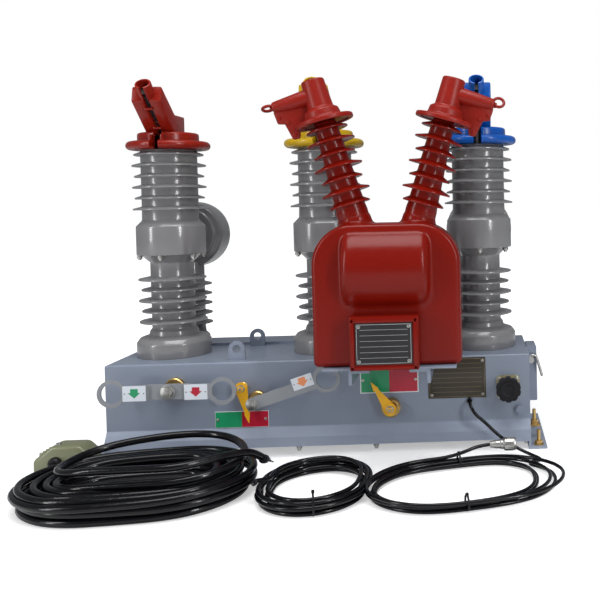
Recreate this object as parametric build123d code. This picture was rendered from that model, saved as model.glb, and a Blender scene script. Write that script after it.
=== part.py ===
"""Outdoor pole-mounted recloser with three resin poles and a voltage transformer.

Millimetres, +Z up, X along the tank and -Y towards the operating side. The
shapes are drawn with the front wall of the tank at y = 0 and are saved with the
origin at the middle of the foot bolts, on the plane under the foot rails.
"""
from build123d import *
from math import cos, pi, radians, sin, tan
import os

os.makedirs("parts", exist_ok=True)

# Tank
TANK_LENGTH = 880.0
TANK_DEPTH = 240.0
TANK_HEIGHT = 178.0
SKIRT_HEIGHT = 20.0
SKIRT_RISE = 20.0
SKIRT_FLARE = 12.0
FOLD_RADIUS = 4.0

# Foot rails
FOOT_HEIGHT = 22.0
FOOT_GAUGE = 5.0
FOOT_SEAT = 40.0
FOOT_TOE = 34.0
FOOT_HOLE_RADIUS = 6.5
FOOT_HOLE_INSET = 34.0

# Poles
POLE_PITCH = 340.0
POLE_BASE_RADIUS = 77.0
POLE_BASE_HEIGHT = 34.0
POLE_HEIGHT = 450.0
LOWER_RADIUS = 45.0
UPPER_RADIUS = 58.0
COLLAR_RADIUS = 71.5
COLLAR_CONE = 62.0
COLLAR_CONE_DROP = 17.0
COLLAR_BOTTOM = 222.0
COLLAR_TOP = 284.0
LOWER_SHED_RADII = (70.0, 64.5)
UPPER_SHED_RADII = (71.5, 76.0)
LOWER_SHED_COUNT = 5
UPPER_SHED_COUNT = 6
LOWER_SHED_FIRST = 74.0
UPPER_SHED_FIRST = 320.0
LOWER_SHED_PITCH = 23.2
UPPER_SHED_MARGIN = 11.5
UPPER_SHED_PITCH = (POLE_HEIGHT - UPPER_SHED_MARGIN - UPPER_SHED_FIRST) / (UPPER_SHED_COUNT - 1)
SHED_TIP = 2.2
SHED_ROOT = 6.0

# Terminal covers and terminals
COVER_WALL = 3.5
COVER_HUB_RADIUS = 63.0
COVER_HUB_HEIGHT = 37.0
COVER_RIM_RADIUS = 86.5
COVER_RIM_TUBE = 9.0
COVER_CHUTE_WIDTH = 60.0
CHUTE_SLOPE = 36.0
CHUTE_SIDE = [(40, 30), (117, 94), (109, 126), (38, 74), (-18, 74), (-18, 30)]
CHUTE_SLIT = [(20, -1), (30, 44), (102, 101), (150, 149), (190, 149), (190, -1)]
MOUTH_AT = (121.0, 120.0)
MOUTH_SLOPE = 45.0
COVER_MOUTH_RADIUS = 16.0
COVER_MOUTH_LENGTH = 24.0
COVER_GAP = 16.0
COVER_SLOT = 9.0
STUD_RADIUS = 20.0
STUD_HEIGHT = 26.0
PAD_WIDTH = 36.0
PAD_GAUGE = 9.0
PAD_LENGTH = 64.0

# Current transformers
CT_SETBACK = 116.0
CT_CORE_RADIUS = 29.0
CT_SHED_RADIUS = 45.0
CT_FOOT_RADIUS = 38.0
CT_DRUM_RADIUS = 77.0
CT_DRUM_LENGTH = 85.0
CT_DRUM_RISE = 259.0
CT_SHED_COUNT = 5
CT_SHED_PITCH = 22.7
CT_SHED_FIRST = 45.0
CT_BORE_RADIUS = 13.0
SHELF_GAUGE = 6.0
SHELF_START = 205.0
SHELF_END = 285.0
SHELF_OVERHANG = 70.0
ROD_RADIUS = 12.5
ROD_REACH = 62.0
SEAT_GAP = 0.3

# Voltage transformer
VT_X = 162.0
VT_WIDTH = 286.0
VT_THICKNESS = 100.0
VT_Y = -90.0
VT_HEIGHT = 276.0
VT_SHOULDER = 80.0
VT_EDGE = 10.0
BULGE_RADIUS = 82.0
BULGE_LENGTH = 166.0
BULGE_RISE = 183.0
BUSHING_LEAN = 15.3
BUSHING_X = 157.5
BUSHING_SPREAD = 62.0
BUSHING_LENGTH = 206.0
BUSHING_ROOT_RADIUS = 31.0
BUSHING_TOP_RADIUS = 22.0
BUSHING_SHED_RADII = (41.0, 48.0)
BUSHING_SHED_COUNT = 7
BUSHING_SHED_FIRST = 37.0
BUSHING_SHED_PITCH = 25.5
VT_BASE_GAUGE = 4.0
VT_BASE_WIDTH = 256.0
VT_BASE_DEPTH = 124.0
ARM_GAUGE = 6.0
ARM_FLANGE = 40.0
ARM_DROP = 22.0
ARM_SPREAD = 78.0
ARM_OVERHANG = 150.0
ARM_HOLD = 40.0
ARM_CLEARANCE = 6.0
BOX_WIDTH = 130.0
BOX_HEIGHT = 102.0
BOX_DEPTH = 38.0
PLATE_GAUGE = 2.0

# Caps of the voltage transformer
CAP_RIM_RADIUS = 57.0
CAP_RIM_GAUGE = 9.0
CAP_STEP_RADIUS = 33.0
CAP_STEP_HEIGHT = 27.0
CAP_HEAD_RADIUS = 23.0
CAP_HEAD_HEIGHT = 61.0
SPOUT_DROP = 33.0
SPOUT_REACH = 88.0
SPOUT_RADII = (19.0, 11.0)
FIN_GAUGE = 9.0

# Levers, pointers and their bosses
LEVER_GAUGE = 5.0
LEVER_STANDOFF = 45.0
LEVER_JOGGLE = 7.0
RING_RADIUS = 28.0
RING_HOLE_RADIUS = 20.5
OPERATING_X = -296.5
OPERATING_Z = 151.5
OPERATING_ARM = 110.0
OPERATING_BAR = 31.0
CHARGE_X = -128.0
CHARGE_Z = 122.5
CHARGE_ARM = 158.0
CHARGE_BAR = 25.0
CHARGE_ANGLE = 17.5
BOSS_RADIUS = 20.0
BOSS_LENGTH = 10.0
SHAFT_RADIUS = 8.0
RUNNING_GAP = 0.3
NUT_RADIUS = 12.0
NUT_LENGTH = 9.0
POINTER_GAUGE = 2.5
POINTER_HEAD = 13.0
POINTER_SHAFT = 4.5
CHARGE_POINTER_X = -158.0
CHARGE_POINTER_Z = 148.0
CHARGE_POINTER_LENGTH = 74.0
CHARGE_POINTER_ANGLE = -79.0
CHARGE_POINTER_STANDOFF = 17.0
POSITION_POINTER_X = 147.0
POSITION_POINTER_Z = 96.0
POSITION_POINTER_LENGTH = 70.0
POSITION_POINTER_ANGLE = 124.0
POSITION_POINTER_STANDOFF = 21.0

# Plates, lugs, socket and side fittings
CHARGE_SIGN = (110.0, 34.0)
CHARGE_SIGN_AT = (-162.5, 80.0)
POSITION_SIGN = (122.0, 55.0)
POSITION_SIGN_AT = (144.5, 153.5)
NAMEPLATE = (121.0, 85.0)
NAMEPLATE_AT = (286.5, 153.5)
SIGN_GAUGE = 1.6
LUG_X = 177.0
LUG_WIDTH = 34.0
LUG_HEIGHT = 40.0
LUG_GAUGE = 5.0
LUG_HOLE_RADIUS = 8.5
LUG_FRONT = 26.0
LUG_REAR = 187.0
SOCKET_X = 393.5
SOCKET_Z = 132.0
SOCKET_FLANGE = 48.0
SOCKET_RADIUS = 21.0
SOCKET_LENGTH = 20.0
SOCKET_CAP_RADIUS = 26.0
SOCKET_CAP_LENGTH = 16.0
SIDE_BOX_WIDTH = 22.0
SIDE_BOX_DEPTH = 65.0
SIDE_BOX_HEIGHT = 122.0
SIDE_BOX_Y = 90.0
LATCH_ROD = 3.0
EARTH_BOLT_RADIUS = 4.0
EARTH_BOLT_LENGTH = 32.0
EARTH_TAB = 24.0
EARTH_UPPER_Y = 60.0
EARTH_LOWER_Y = 4.0
PLUG_X = 418.0
PLUG_Z = 84.0

# Signal lead, its gland and plug, and the loose cable sets on the floor
LEAD_RADIUS = 3.5
GLAND_RADIUS = 5.5
GLAND_LENGTH = 8.0
GLAND_X = 312.0
GLAND_Z = 105.0
LEAD_COIL = dict(x=311.0, y=-222.0, a=188.0, b=124.0, turn=14.0, ring=27.0, shift=(-11.0, -3.0), height=26.0)
CONTROL_COIL = dict(x=-305.0, y=-211.0, a=232.0, b=150.0, turn=0.0, ring=88.0, shift=(0.0, 0.0), height=62.0)
SENSING_COIL = dict(x=28.0, y=-223.0, a=123.0, b=102.5, turn=90.0, ring=33.0, shift=(-8.0, -4.0), height=36.0)
LEAD_PLUG_RADIUS = 13.0
LEAD_PLUG_X = 352.0
LEAD_PLUG_Y = -97.0
HOOD_LENGTH = 114.0
HOOD_WIDTH = 52.0
HOOD_HEIGHT = 54.0
HOOD_X = -499.0
HOOD_Y = -42.0
CONTROL_RADIUS = 7.0
CONTROL_EXIT_X = -510.0
CONTROL_EXIT_Z = 22.0

# Worked out from the above
TANK_BOTTOM = FOOT_HEIGHT
TANK_TOP = FOOT_HEIGHT + TANK_HEIGHT
HALF_LENGTH = TANK_LENGTH / 2
POLE_Y = TANK_DEPTH / 2
POLE_X = (-POLE_PITCH, 0.0, POLE_PITCH)
SIDES = ("left", "centre", "right")
CT_Y = POLE_Y + CT_SETBACK
CT_SEAT = TANK_TOP + SHELF_GAUGE
CT_DRUM_Z = TANK_TOP + CT_DRUM_RISE
VT_SEAT = TANK_TOP + ARM_GAUGE + VT_BASE_GAUGE
VT_FRONT = VT_Y - VT_THICKNESS / 2
TOE_X = HALF_LENGTH + FOOT_TOE / 2


def save(shape, name):
    """Write one sub-part to its own STEP file, in the frame of the foot bolts."""
    export_step(Pos(0, -POLE_Y, 0) * shape, f"parts/{name}.step")


def block(x0, x1, y0, y1, z0, z1):
    """A rectangular solid between two corners."""
    solid = Box(x1 - x0, y1 - y0, z1 - z0)
    return Pos((x0 + x1) / 2, (y0 + y1) / 2, (z0 + z1) / 2) * solid


def rod(x, z, radius, y_near, y_far):
    """A round bar that runs along Y from y_near (front) to y_far."""
    bar = Cylinder(radius, y_far - y_near)
    return Pos(x, (y_near + y_far) / 2, z) * Rot(90, 0, 0) * bar


def nut_along_y(x, z, radius, y_near, y_far):
    """A hexagon nut on a shaft that runs along Y."""
    face = Plane((x, y_far, z), x_dir=(1, 0, 0), z_dir=(0, -1, 0))
    return extrude(face * RegularPolygon(radius, 6), y_far - y_near)


def upright_bolt(x, y, z, radius, length):
    """A stud on +Z with two nuts and a washer at its root."""
    stud = Pos(x, y, z + length / 2) * Cylinder(radius, length)
    washer = Pos(x, y, z + 1) * Cylinder(2.6 * radius, 2)
    nuts = Pos(x, y, z + 2) * extrude(RegularPolygon(2.1 * radius, 6), 1.8 * radius)
    return stud + washer + nuts


def shed_points(z, core, tip_radius, root=SHED_ROOT, tip=SHED_TIP):
    """The half outline of one rain shed, whose underside is flat."""
    return [(core, z), (tip_radius, z), (tip_radius, z + tip), (core, z + root)]


def tank_shell():
    """Folded steel tank whose front and rear walls flare out into a skirt."""
    z0, z1 = TANK_BOTTOM, TANK_TOP
    flare_low, flare_high = z0 + SKIRT_HEIGHT, z0 + SKIRT_HEIGHT + SKIRT_RISE
    front = [(-SKIRT_FLARE, z0), (-SKIRT_FLARE, flare_low), (0, flare_high), (0, z1)]
    rear = [(TANK_DEPTH - y, z) for y, z in reversed(front)]
    section = make_face(Plane.YZ * Polyline(*front, *rear, close=True))
    tank = extrude(section, HALF_LENGTH, both=True)
    top_edges = tank.edges().group_by(Axis.Z)[-1]
    return fillet(top_edges, FOLD_RADIUS)


def foot_rail(side):
    """Z-section rail under one end of the tank, with two bolt holes in its toe."""
    web = HALF_LENGTH - FOOT_GAUGE
    outline = [
        (web, 0), (HALF_LENGTH + FOOT_TOE, 0), (HALF_LENGTH + FOOT_TOE, FOOT_GAUGE),
        (HALF_LENGTH, FOOT_GAUGE), (HALF_LENGTH, FOOT_HEIGHT),
        (HALF_LENGTH - FOOT_SEAT, FOOT_HEIGHT),
        (HALF_LENGTH - FOOT_SEAT, FOOT_HEIGHT - FOOT_GAUGE), (web, FOOT_HEIGHT - FOOT_GAUGE),
    ]
    section = make_face(Plane.XZ * Polyline(*outline, close=True))
    rail = Pos(0, -SKIRT_FLARE, 0) * extrude(section, -(TANK_DEPTH + 2 * SKIRT_FLARE))
    for y in (FOOT_HOLE_INSET, TANK_DEPTH - FOOT_HOLE_INSET):
        rail -= Pos(TOE_X, y, FOOT_GAUGE / 2) * Cylinder(FOOT_HOLE_RADIUS, 2 * FOOT_GAUGE)
    return rail if side > 0 else mirror(rail, Plane.YZ)


def pole_outline():
    """Half outline of a resin pole, from its foot to its head."""
    base, height, shoulder = POLE_BASE_RADIUS, POLE_BASE_HEIGHT, 10.0
    points = [(0, 0), (base, 0), (base, height), (base - shoulder, height + shoulder)]
    points += [(LOWER_RADIUS + 6, height + shoulder + 3), (LOWER_RADIUS + 4, height + 24)]
    points += [(LOWER_RADIUS, height + 26)]
    for k in range(LOWER_SHED_COUNT):
        z = LOWER_SHED_FIRST + k * LOWER_SHED_PITCH
        points += shed_points(z, LOWER_RADIUS, LOWER_SHED_RADII[k % 2])
    points += [(LOWER_RADIUS, COLLAR_BOTTOM - COLLAR_CONE_DROP), (COLLAR_CONE, COLLAR_BOTTOM)]
    points += [(COLLAR_RADIUS, COLLAR_BOTTOM)]
    points += [(COLLAR_RADIUS, COLLAR_TOP), (UPPER_RADIUS, COLLAR_TOP + 14)]
    for k in range(UPPER_SHED_COUNT):
        z = UPPER_SHED_FIRST + k * UPPER_SHED_PITCH
        points += shed_points(z, UPPER_RADIUS, UPPER_SHED_RADII[(k + 1) % 2])
    points += [(UPPER_RADIUS, POLE_HEIGHT), (0, POLE_HEIGHT)]
    return points


def pole(x):
    """One cast resin pole with its lower and upper rain sheds."""
    section = make_face(Plane.XZ * Polyline(*pole_outline(), close=True))
    return Pos(x, POLE_Y, TANK_TOP) * revolve(section, Axis.Z)


def terminal_cover(x):
    """Silicone cover: rolled rim, hub, slanted cable chute and round mouth, slit at the front."""
    bottom = (Align.CENTER, Align.CENTER, Align.MIN)
    side = Plane((0, 0, 0), x_dir=(0, -1, 0), z_dir=(-1, 0, 0))
    half = COVER_CHUTE_WIDTH / 2
    section = make_face(side * Polyline(*CHUTE_SIDE, close=True))
    inner = offset(section, amount=-COVER_WALL, kind=Kind.INTERSECTION)
    rim_centre = COVER_RIM_RADIUS - COVER_RIM_TUBE
    rim_z = COVER_RIM_TUBE + SEAT_GAP
    mouth = Pos(0, -MOUTH_AT[0], MOUTH_AT[1]) * Rot(90 - MOUTH_SLOPE, 0, 0)
    cover = Cylinder(COVER_HUB_RADIUS, COVER_HUB_HEIGHT, align=bottom)
    cover += Pos(0, 0, rim_z) * Torus(rim_centre, COVER_RIM_TUBE)
    cover += Pos(0, 0, rim_z) * Cylinder(rim_centre, 4.0)
    cover += extrude(section, half, both=True)
    cover += mouth * Cylinder(COVER_MOUTH_RADIUS, COVER_MOUTH_LENGTH)
    cover -= Cylinder(COVER_HUB_RADIUS - 2 * COVER_WALL, COVER_HUB_HEIGHT - COVER_WALL, align=bottom)
    cover -= extrude(inner, half - COVER_WALL, both=True)
    cover -= block(COVER_WALL - half, half - COVER_WALL, -38, 14, 20, COVER_HUB_HEIGHT + 4)
    cover -= mouth * Cylinder(COVER_MOUTH_RADIUS - COVER_WALL, 2 * COVER_MOUTH_LENGTH)
    gap_top = COVER_HUB_HEIGHT - COVER_WALL - 1
    cover -= block(-COVER_GAP / 2, COVER_GAP / 2, -COVER_RIM_RADIUS - 1, -40, -1, gap_top)
    cover -= extrude(make_face(side * Polyline(*CHUTE_SLIT, close=True)), COVER_SLOT / 2, both=True)
    return Pos(x, POLE_Y, TANK_TOP + POLE_HEIGHT) * cover


def terminal_stud(x):
    """Tinned stud and slanted terminal blade on the head of a pole."""
    stud = Cylinder(STUD_RADIUS, STUD_HEIGHT, align=(Align.CENTER, Align.CENTER, Align.MIN))
    half = PAD_WIDTH / 2
    blade = block(-half, half, -PAD_GAUGE / 2, PAD_GAUGE / 2, 0, PAD_LENGTH)
    stud += Pos(0, -5, STUD_HEIGHT - 2) * Rot(90 - CHUTE_SLOPE, 0, 0) * blade
    return Pos(x, POLE_Y, TANK_TOP + POLE_HEIGHT) * stud


def current_transformer(x):
    """Resin current transformer: shedded foot column and a bored drum."""
    rise = CT_DRUM_Z - CT_SEAT
    points = [(0, 0), (CT_FOOT_RADIUS, 0), (CT_FOOT_RADIUS, 14), (CT_CORE_RADIUS, 24)]
    for k in range(CT_SHED_COUNT):
        points += shed_points(CT_SHED_FIRST + k * CT_SHED_PITCH, CT_CORE_RADIUS, CT_SHED_RADIUS)
    points += [(CT_CORE_RADIUS, rise - CT_DRUM_RADIUS + 12), (0, rise - CT_DRUM_RADIUS + 12)]
    column = Pos(x, CT_Y, CT_SEAT) * revolve(make_face(Plane.XZ * Polyline(*points, close=True)), Axis.Z)
    drum = Cylinder(CT_DRUM_RADIUS, CT_DRUM_LENGTH)
    drum = fillet(drum.edges().filter_by(GeomType.CIRCLE), 6.0)
    drum_y = POLE_Y + COLLAR_RADIUS + 22 + CT_DRUM_LENGTH / 2
    drum = Pos(x, drum_y, CT_DRUM_Z) * Rot(90, 0, 0) * drum
    body = column + drum
    return body - rod(x, CT_DRUM_Z, CT_BORE_RADIUS, POLE_Y, drum_y + CT_DRUM_LENGTH)


def outgoing_terminal(x):
    """Copper rod from the collar through the drum, with a bored flat pad."""
    start = POLE_Y + COLLAR_RADIUS + SEAT_GAP
    drum_end = POLE_Y + COLLAR_RADIUS + 22 + CT_DRUM_LENGTH
    end = drum_end + ROD_REACH
    bar = rod(x, CT_DRUM_Z, ROD_RADIUS, start, drum_end + 16)
    pad = block(x - PAD_WIDTH / 2, x + PAD_WIDTH / 2, drum_end + 12, end,
                CT_DRUM_Z - PAD_GAUGE / 2, CT_DRUM_Z + PAD_GAUGE / 2)
    bar += pad
    return bar - Pos(x, end - 16, CT_DRUM_Z) * Cylinder(6.5, 4 * PAD_GAUGE)


def ct_shelf():
    """Flat steel shelf that carries the current transformers behind the poles."""
    half = POLE_PITCH + SHELF_OVERHANG
    return block(-half, half, SHELF_START, SHELF_END, TANK_TOP, CT_SEAT)


def vt_body():
    """Cast body: arched slab crossed by a round winding bulge."""
    half = VT_WIDTH / 2
    corners = [(-half, 0), (half, 0), (half, VT_HEIGHT), (-half, VT_HEIGHT)]
    face = make_face(Plane.XZ * Polyline(*corners, close=True))
    face = fillet(face.vertices().group_by(Axis.Z)[-1], VT_SHOULDER)
    slab = extrude(face, VT_THICKNESS / 2, both=True)
    rims = slab.edges().group_by(Axis.Y)
    above_base = (rims[0] + rims[-1]).filter_by(lambda e: e.center().Z > 1)
    slab = fillet(above_base, VT_EDGE)
    bulge = Rot(0, 90, 0) * Cylinder(BULGE_RADIUS, BULGE_LENGTH)
    bulge = fillet(bulge.edges().filter_by(GeomType.CIRCLE), 12.0)
    return Pos(VT_X, VT_Y, VT_SEAT) * (slab + Pos(0, 0, BULGE_RISE) * bulge)


def bushing_frame(side):
    """Frame at the root of a bushing, whose Z runs up its axis and X outwards."""
    root = Pos(BUSHING_X + side * BUSHING_SPREAD, VT_Y, VT_SEAT + VT_HEIGHT)
    return root * Rot(0, side * BUSHING_LEAN, 0) * Rot(0, 0, 0 if side > 0 else 180)


def vt_bushing(side):
    """Leaning bushing with seven rain sheds."""
    taper = (BUSHING_ROOT_RADIUS - BUSHING_TOP_RADIUS) / BUSHING_LENGTH
    sink = BUSHING_ROOT_RADIUS * tan(radians(BUSHING_LEAN)) + 6
    points = [(0, -sink), (BUSHING_ROOT_RADIUS, -sink), (BUSHING_ROOT_RADIUS, 24)]
    for k in range(BUSHING_SHED_COUNT):
        z = BUSHING_SHED_FIRST + k * BUSHING_SHED_PITCH
        core = BUSHING_ROOT_RADIUS - taper * z
        points += shed_points(z, core, BUSHING_SHED_RADII[k % 2], root=8.0)
    points += [(BUSHING_TOP_RADIUS, BUSHING_LENGTH), (0, BUSHING_LENGTH)]
    solid = revolve(make_face(Plane.XZ * Polyline(*points, close=True)), Axis.Z)
    return bushing_frame(side) * solid


def vt_cap(side):
    """Red cap on a bushing: rim, stepped hub, cable spout and clip fin."""
    z0 = BUSHING_LENGTH
    rim, step, head = CAP_RIM_RADIUS, CAP_STEP_RADIUS, CAP_HEAD_RADIUS
    step_top = z0 + CAP_STEP_HEIGHT
    head_top = step_top + CAP_HEAD_HEIGHT
    points = [
        (0, z0), (rim - 3, z0), (rim, z0 + 3), (rim - 3, z0 + CAP_RIM_GAUGE),
        (step, z0 + CAP_RIM_GAUGE + 3), (step, step_top), (head + 2, step_top + 2),
        (head, head_top - 3), (head - 3, head_top), (0, head_top),
    ]
    cap = revolve(make_face(Plane.XZ * Polyline(*points, close=True)), Axis.Z)
    spout_z = head_top - SPOUT_DROP
    spout = Cone(SPOUT_RADII[0], SPOUT_RADII[1], SPOUT_REACH, align=(Align.CENTER, Align.CENTER, Align.MIN))
    cap += Pos(0, 0, spout_z) * Rot(0, 90, 0) * spout
    cap -= Pos(SPOUT_REACH - 30, 0, spout_z) * Rot(0, 90, 0) * Cylinder(SPOUT_RADII[1] - 3, 80)
    tip = SPOUT_REACH - 2
    fin = [(10, z0 + 4), (58, z0 - 14), (70, z0 - 8), (tip, spout_z - 8), (tip, spout_z), (10, spout_z)]
    cap += extrude(make_face(Plane.XZ * Polyline(*fin, close=True)), FIN_GAUGE / 2, both=True)
    core = Cylinder(BUSHING_SHED_RADII[1] + 1, 60, align=(Align.CENTER, Align.CENTER, Align.MAX))
    cap -= Pos(0, 0, z0) * core
    return bushing_frame(side) * cap


def vt_terminal_box():
    """Resin box on the foot of the transformer, with a bevelled edge."""
    solid = block(VT_X - BOX_WIDTH / 2, VT_X + BOX_WIDTH / 2, VT_FRONT - BOX_DEPTH, VT_FRONT,
                  VT_SEAT, VT_SEAT + BOX_HEIGHT)
    return chamfer(solid.faces().sort_by(Axis.Y)[0].edges(), 5.0)


def vt_nameplate():
    """Plain plate on the terminal box."""
    front = VT_FRONT - BOX_DEPTH
    width, height = BOX_WIDTH - 24, BOX_HEIGHT - 24
    return block(VT_X - width / 2, VT_X + width / 2, front - PLATE_GAUGE, front,
                 VT_SEAT + 12, VT_SEAT + 12 + height)


def vt_base_plate():
    """Steel plate under the transformer."""
    half, depth = VT_BASE_WIDTH / 2, VT_BASE_DEPTH / 2
    return block(VT_X - half, VT_X + half, VT_Y - depth, VT_Y + depth, VT_SEAT - VT_BASE_GAUGE, VT_SEAT)


def vt_arm(side):
    """Angle-steel arm on the tank top that carries the transformer out in front."""
    outer = VT_X + side * ARM_SPREAD
    inner = outer - side * ARM_FLANGE
    left, right = min(outer, inner), max(outer, inner)
    flange = block(left, right, -ARM_OVERHANG, ARM_HOLD, TANK_TOP, TANK_TOP + ARM_GAUGE)
    web = outer - side * ARM_GAUGE
    near, far = min(outer, web), max(outer, web)
    leg = block(near, far, -ARM_OVERHANG, -ARM_CLEARANCE, TANK_TOP - ARM_DROP, TANK_TOP)
    return flange + leg


def ring(x, z, y_near, y_far):
    """Hook-stick ring in the plane of a lever."""
    return rod(x, z, RING_RADIUS, y_near, y_far) - rod(x, z, RING_HOLE_RADIUS, y_near - 1, y_far + 1)


def operating_lever():
    """Two-ring operating lever on its shaft, joggled towards the tank at its hub."""
    near, far = -LEVER_STANDOFF - LEVER_GAUGE, -LEVER_STANDOFF
    bend, hub = 52.0, 38.0
    bar_end = OPERATING_ARM - RING_RADIUS + 4
    top_view = [
        (-bar_end, near), (-bend, near), (-hub, near + LEVER_JOGGLE), (hub, near + LEVER_JOGGLE),
        (bend, near), (bar_end, near), (bar_end, far), (bend, far), (hub, far + LEVER_JOGGLE),
        (-hub, far + LEVER_JOGGLE), (-bend, far), (-bar_end, far),
    ]
    bar = extrude(make_face(Plane.XY * Polyline(*top_view, close=True)), OPERATING_BAR / 2, both=True)
    lever = Pos(OPERATING_X, 0, OPERATING_Z) * bar
    for side in (-1, 1):
        x = OPERATING_X + side * OPERATING_ARM
        lever -= rod(x, OPERATING_Z, RING_HOLE_RADIUS, near - 1, far + 1)
        lever += ring(x, OPERATING_Z, near, far)
    lever += rod(OPERATING_X, OPERATING_Z, SHAFT_RADIUS, near + 2, -SEAT_GAP)
    seat = near + LEVER_JOGGLE
    return lever + nut_along_y(OPERATING_X, OPERATING_Z, NUT_RADIUS, seat - NUT_LENGTH, seat)


def charge_lever():
    """Spring-charging lever with one ring, set at its rest angle on its shaft."""
    near, far = -LEVER_STANDOFF - LEVER_GAUGE, -LEVER_STANDOFF
    bar = block(0, CHARGE_ARM - RING_RADIUS + 4, near, far, -CHARGE_BAR / 2, CHARGE_BAR / 2)
    bar += rod(0, 0, CHARGE_BAR / 2, near, far)
    bar += ring(CHARGE_ARM, 0, near, far)
    bar += rod(0, 0, SHAFT_RADIUS, near, -SEAT_GAP)
    bar += nut_along_y(0, 0, NUT_RADIUS - 2, near - NUT_LENGTH, near)
    return Pos(CHARGE_X, 0, CHARGE_Z) * Rot(0, -CHARGE_ANGLE, 0) * bar


def pointer(length, standoff):
    """Arrow-headed indicator blade along +X, with its own small shaft."""
    near, far = -standoff - POINTER_GAUGE, -standoff
    upper = [(length * 0.62, 5.0), (length * 0.70, 4.0), (length * 0.72, 6.0)]
    lower = [(x, -z) for x, z in reversed(upper)]
    blade = [(0, -POINTER_HEAD), (0, POINTER_HEAD), *upper, (length, 0), *lower]
    plate = extrude(make_face(Plane.XZ * Polyline(*blade, close=True)), POINTER_GAUGE)
    solid = Pos(0, far, 0) * plate + rod(0, 0, POINTER_HEAD, near, far)
    solid += rod(0, 0, POINTER_SHAFT, near - 2, -SEAT_GAP)
    return solid + nut_along_y(0, 0, 6.5, near - 6, near)


def charge_pointer():
    """Yellow blade that shows whether the spring is charged."""
    blade = pointer(CHARGE_POINTER_LENGTH, CHARGE_POINTER_STANDOFF)
    return Pos(CHARGE_POINTER_X, 0, CHARGE_POINTER_Z) * Rot(0, -CHARGE_POINTER_ANGLE, 0) * blade


def position_pointer():
    """Yellow blade that shows whether the switch is open or closed."""
    blade = pointer(POSITION_POINTER_LENGTH, POSITION_POINTER_STANDOFF)
    return Pos(POSITION_POINTER_X, 0, POSITION_POINTER_Z) * Rot(0, -POSITION_POINTER_ANGLE, 0) * blade


def shaft_boss(x, z, radius, length, shaft):
    """Brass boss on the front wall, bored for a running shaft."""
    boss = rod(x, z, radius, -length, 0)
    boss = chamfer(boss.faces().sort_by(Axis.Y)[0].edges(), 2.0)
    return boss - rod(x, z, shaft + RUNNING_GAP, -length - 1, 1)


def wall_plate(size, at):
    """Thin plate on the front wall."""
    (x, z), (width, height) = at, size
    return block(x - width / 2, x + width / 2, -SIGN_GAUGE, 0, z - height / 2, z + height / 2)


def lifting_lugs():
    """Four rounded lugs on the tank top, each with one eye."""
    lugs = []
    for side in (-1, 1):
        for y in (LUG_FRONT, LUG_REAR):
            eye_z = TANK_TOP + LUG_HEIGHT - LUG_WIDTH / 2
            x = side * LUG_X
            half, gauge = LUG_WIDTH / 2, LUG_GAUGE / 2
            lug = block(x - half, x + half, y - gauge, y + gauge, TANK_TOP, eye_z)
            lug += rod(x, eye_z, LUG_WIDTH / 2, y - LUG_GAUGE / 2, y + LUG_GAUGE / 2)
            lugs.append(lug - rod(x, eye_z, LUG_HOLE_RADIUS, y - LUG_GAUGE, y + LUG_GAUGE))
    return Compound(children=[solid for lug in lugs for solid in lug.solids()])


def control_socket():
    """Round multi-pole socket on a square flange."""
    half = SOCKET_FLANGE / 2
    flange = block(SOCKET_X - half, SOCKET_X + half, -4, 0, SOCKET_Z - half, SOCKET_Z + half)
    flange = fillet(flange.edges().filter_by(Axis.Y), 8.0)
    return flange + rod(SOCKET_X, SOCKET_Z, SOCKET_RADIUS, -SOCKET_LENGTH, -4)


def socket_cap():
    """Scalloped screw cap over the socket."""
    near = -SOCKET_LENGTH - SOCKET_CAP_LENGTH
    cap = rod(SOCKET_X, SOCKET_Z, SOCKET_CAP_RADIUS, near, -SOCKET_LENGTH)
    grips = 10
    for k in range(grips):
        angle = 2 * pi * k / grips
        x = SOCKET_X + (SOCKET_CAP_RADIUS + 3) * cos(angle)
        z = SOCKET_Z + (SOCKET_CAP_RADIUS + 3) * sin(angle)
        cap -= rod(x, z, 5.0, near - 1, -SOCKET_LENGTH + 1)
    return cap


def side_box():
    """Slim cover box on the right-hand end wall."""
    box = block(HALF_LENGTH, HALF_LENGTH + SIDE_BOX_WIDTH, SIDE_BOX_Y, SIDE_BOX_Y + SIDE_BOX_DEPTH,
                TANK_TOP - SIDE_BOX_HEIGHT, TANK_TOP)
    return fillet(box.edges().filter_by(Axis.Y).group_by(Axis.X)[-1], 3.0)


def side_latch():
    """Bent rod latch on a round knob at the front of the side box."""
    x, z = HALF_LENGTH + 9, TANK_TOP - 30
    y = SIDE_BOX_Y - 8
    knob = rod(x, z, 7.0, y - LATCH_ROD, SIDE_BOX_Y)
    wire = FilletPolyline((x - 6, y, z + 6), (x + 10, y, z + 14), (x + 24, y, z - 36), radius=8.0)
    plane = Plane(origin=wire @ 0, z_dir=wire % 0)
    return knob + sweep(plane * Circle(LATCH_ROD), path=wire)


def earth_stud_upper():
    """Earthing bolt on a tab that stands out from the end wall."""
    z = FOOT_HEIGHT + 8
    tab = block(HALF_LENGTH, HALF_LENGTH + EARTH_TAB, EARTH_UPPER_Y - 10, EARTH_UPPER_Y + 10, z, z + 4)
    x = HALF_LENGTH + EARTH_TAB / 2
    return tab + upright_bolt(x, EARTH_UPPER_Y, z + 4, EARTH_BOLT_RADIUS, EARTH_BOLT_LENGTH)


def earth_stud_lower():
    """Earthing bolt that stands on the toe of the right-hand rail."""
    return upright_bolt(TOE_X, EARTH_LOWER_Y, FOOT_GAUGE, EARTH_BOLT_RADIUS, EARTH_BOLT_LENGTH)


def wall_plug():
    """Hexagon plug in the front wall."""
    return nut_along_y(PLUG_X, PLUG_Z, 9.0, -9, 0) + rod(PLUG_X, PLUG_Z, 11.0, -3, 0)


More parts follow.
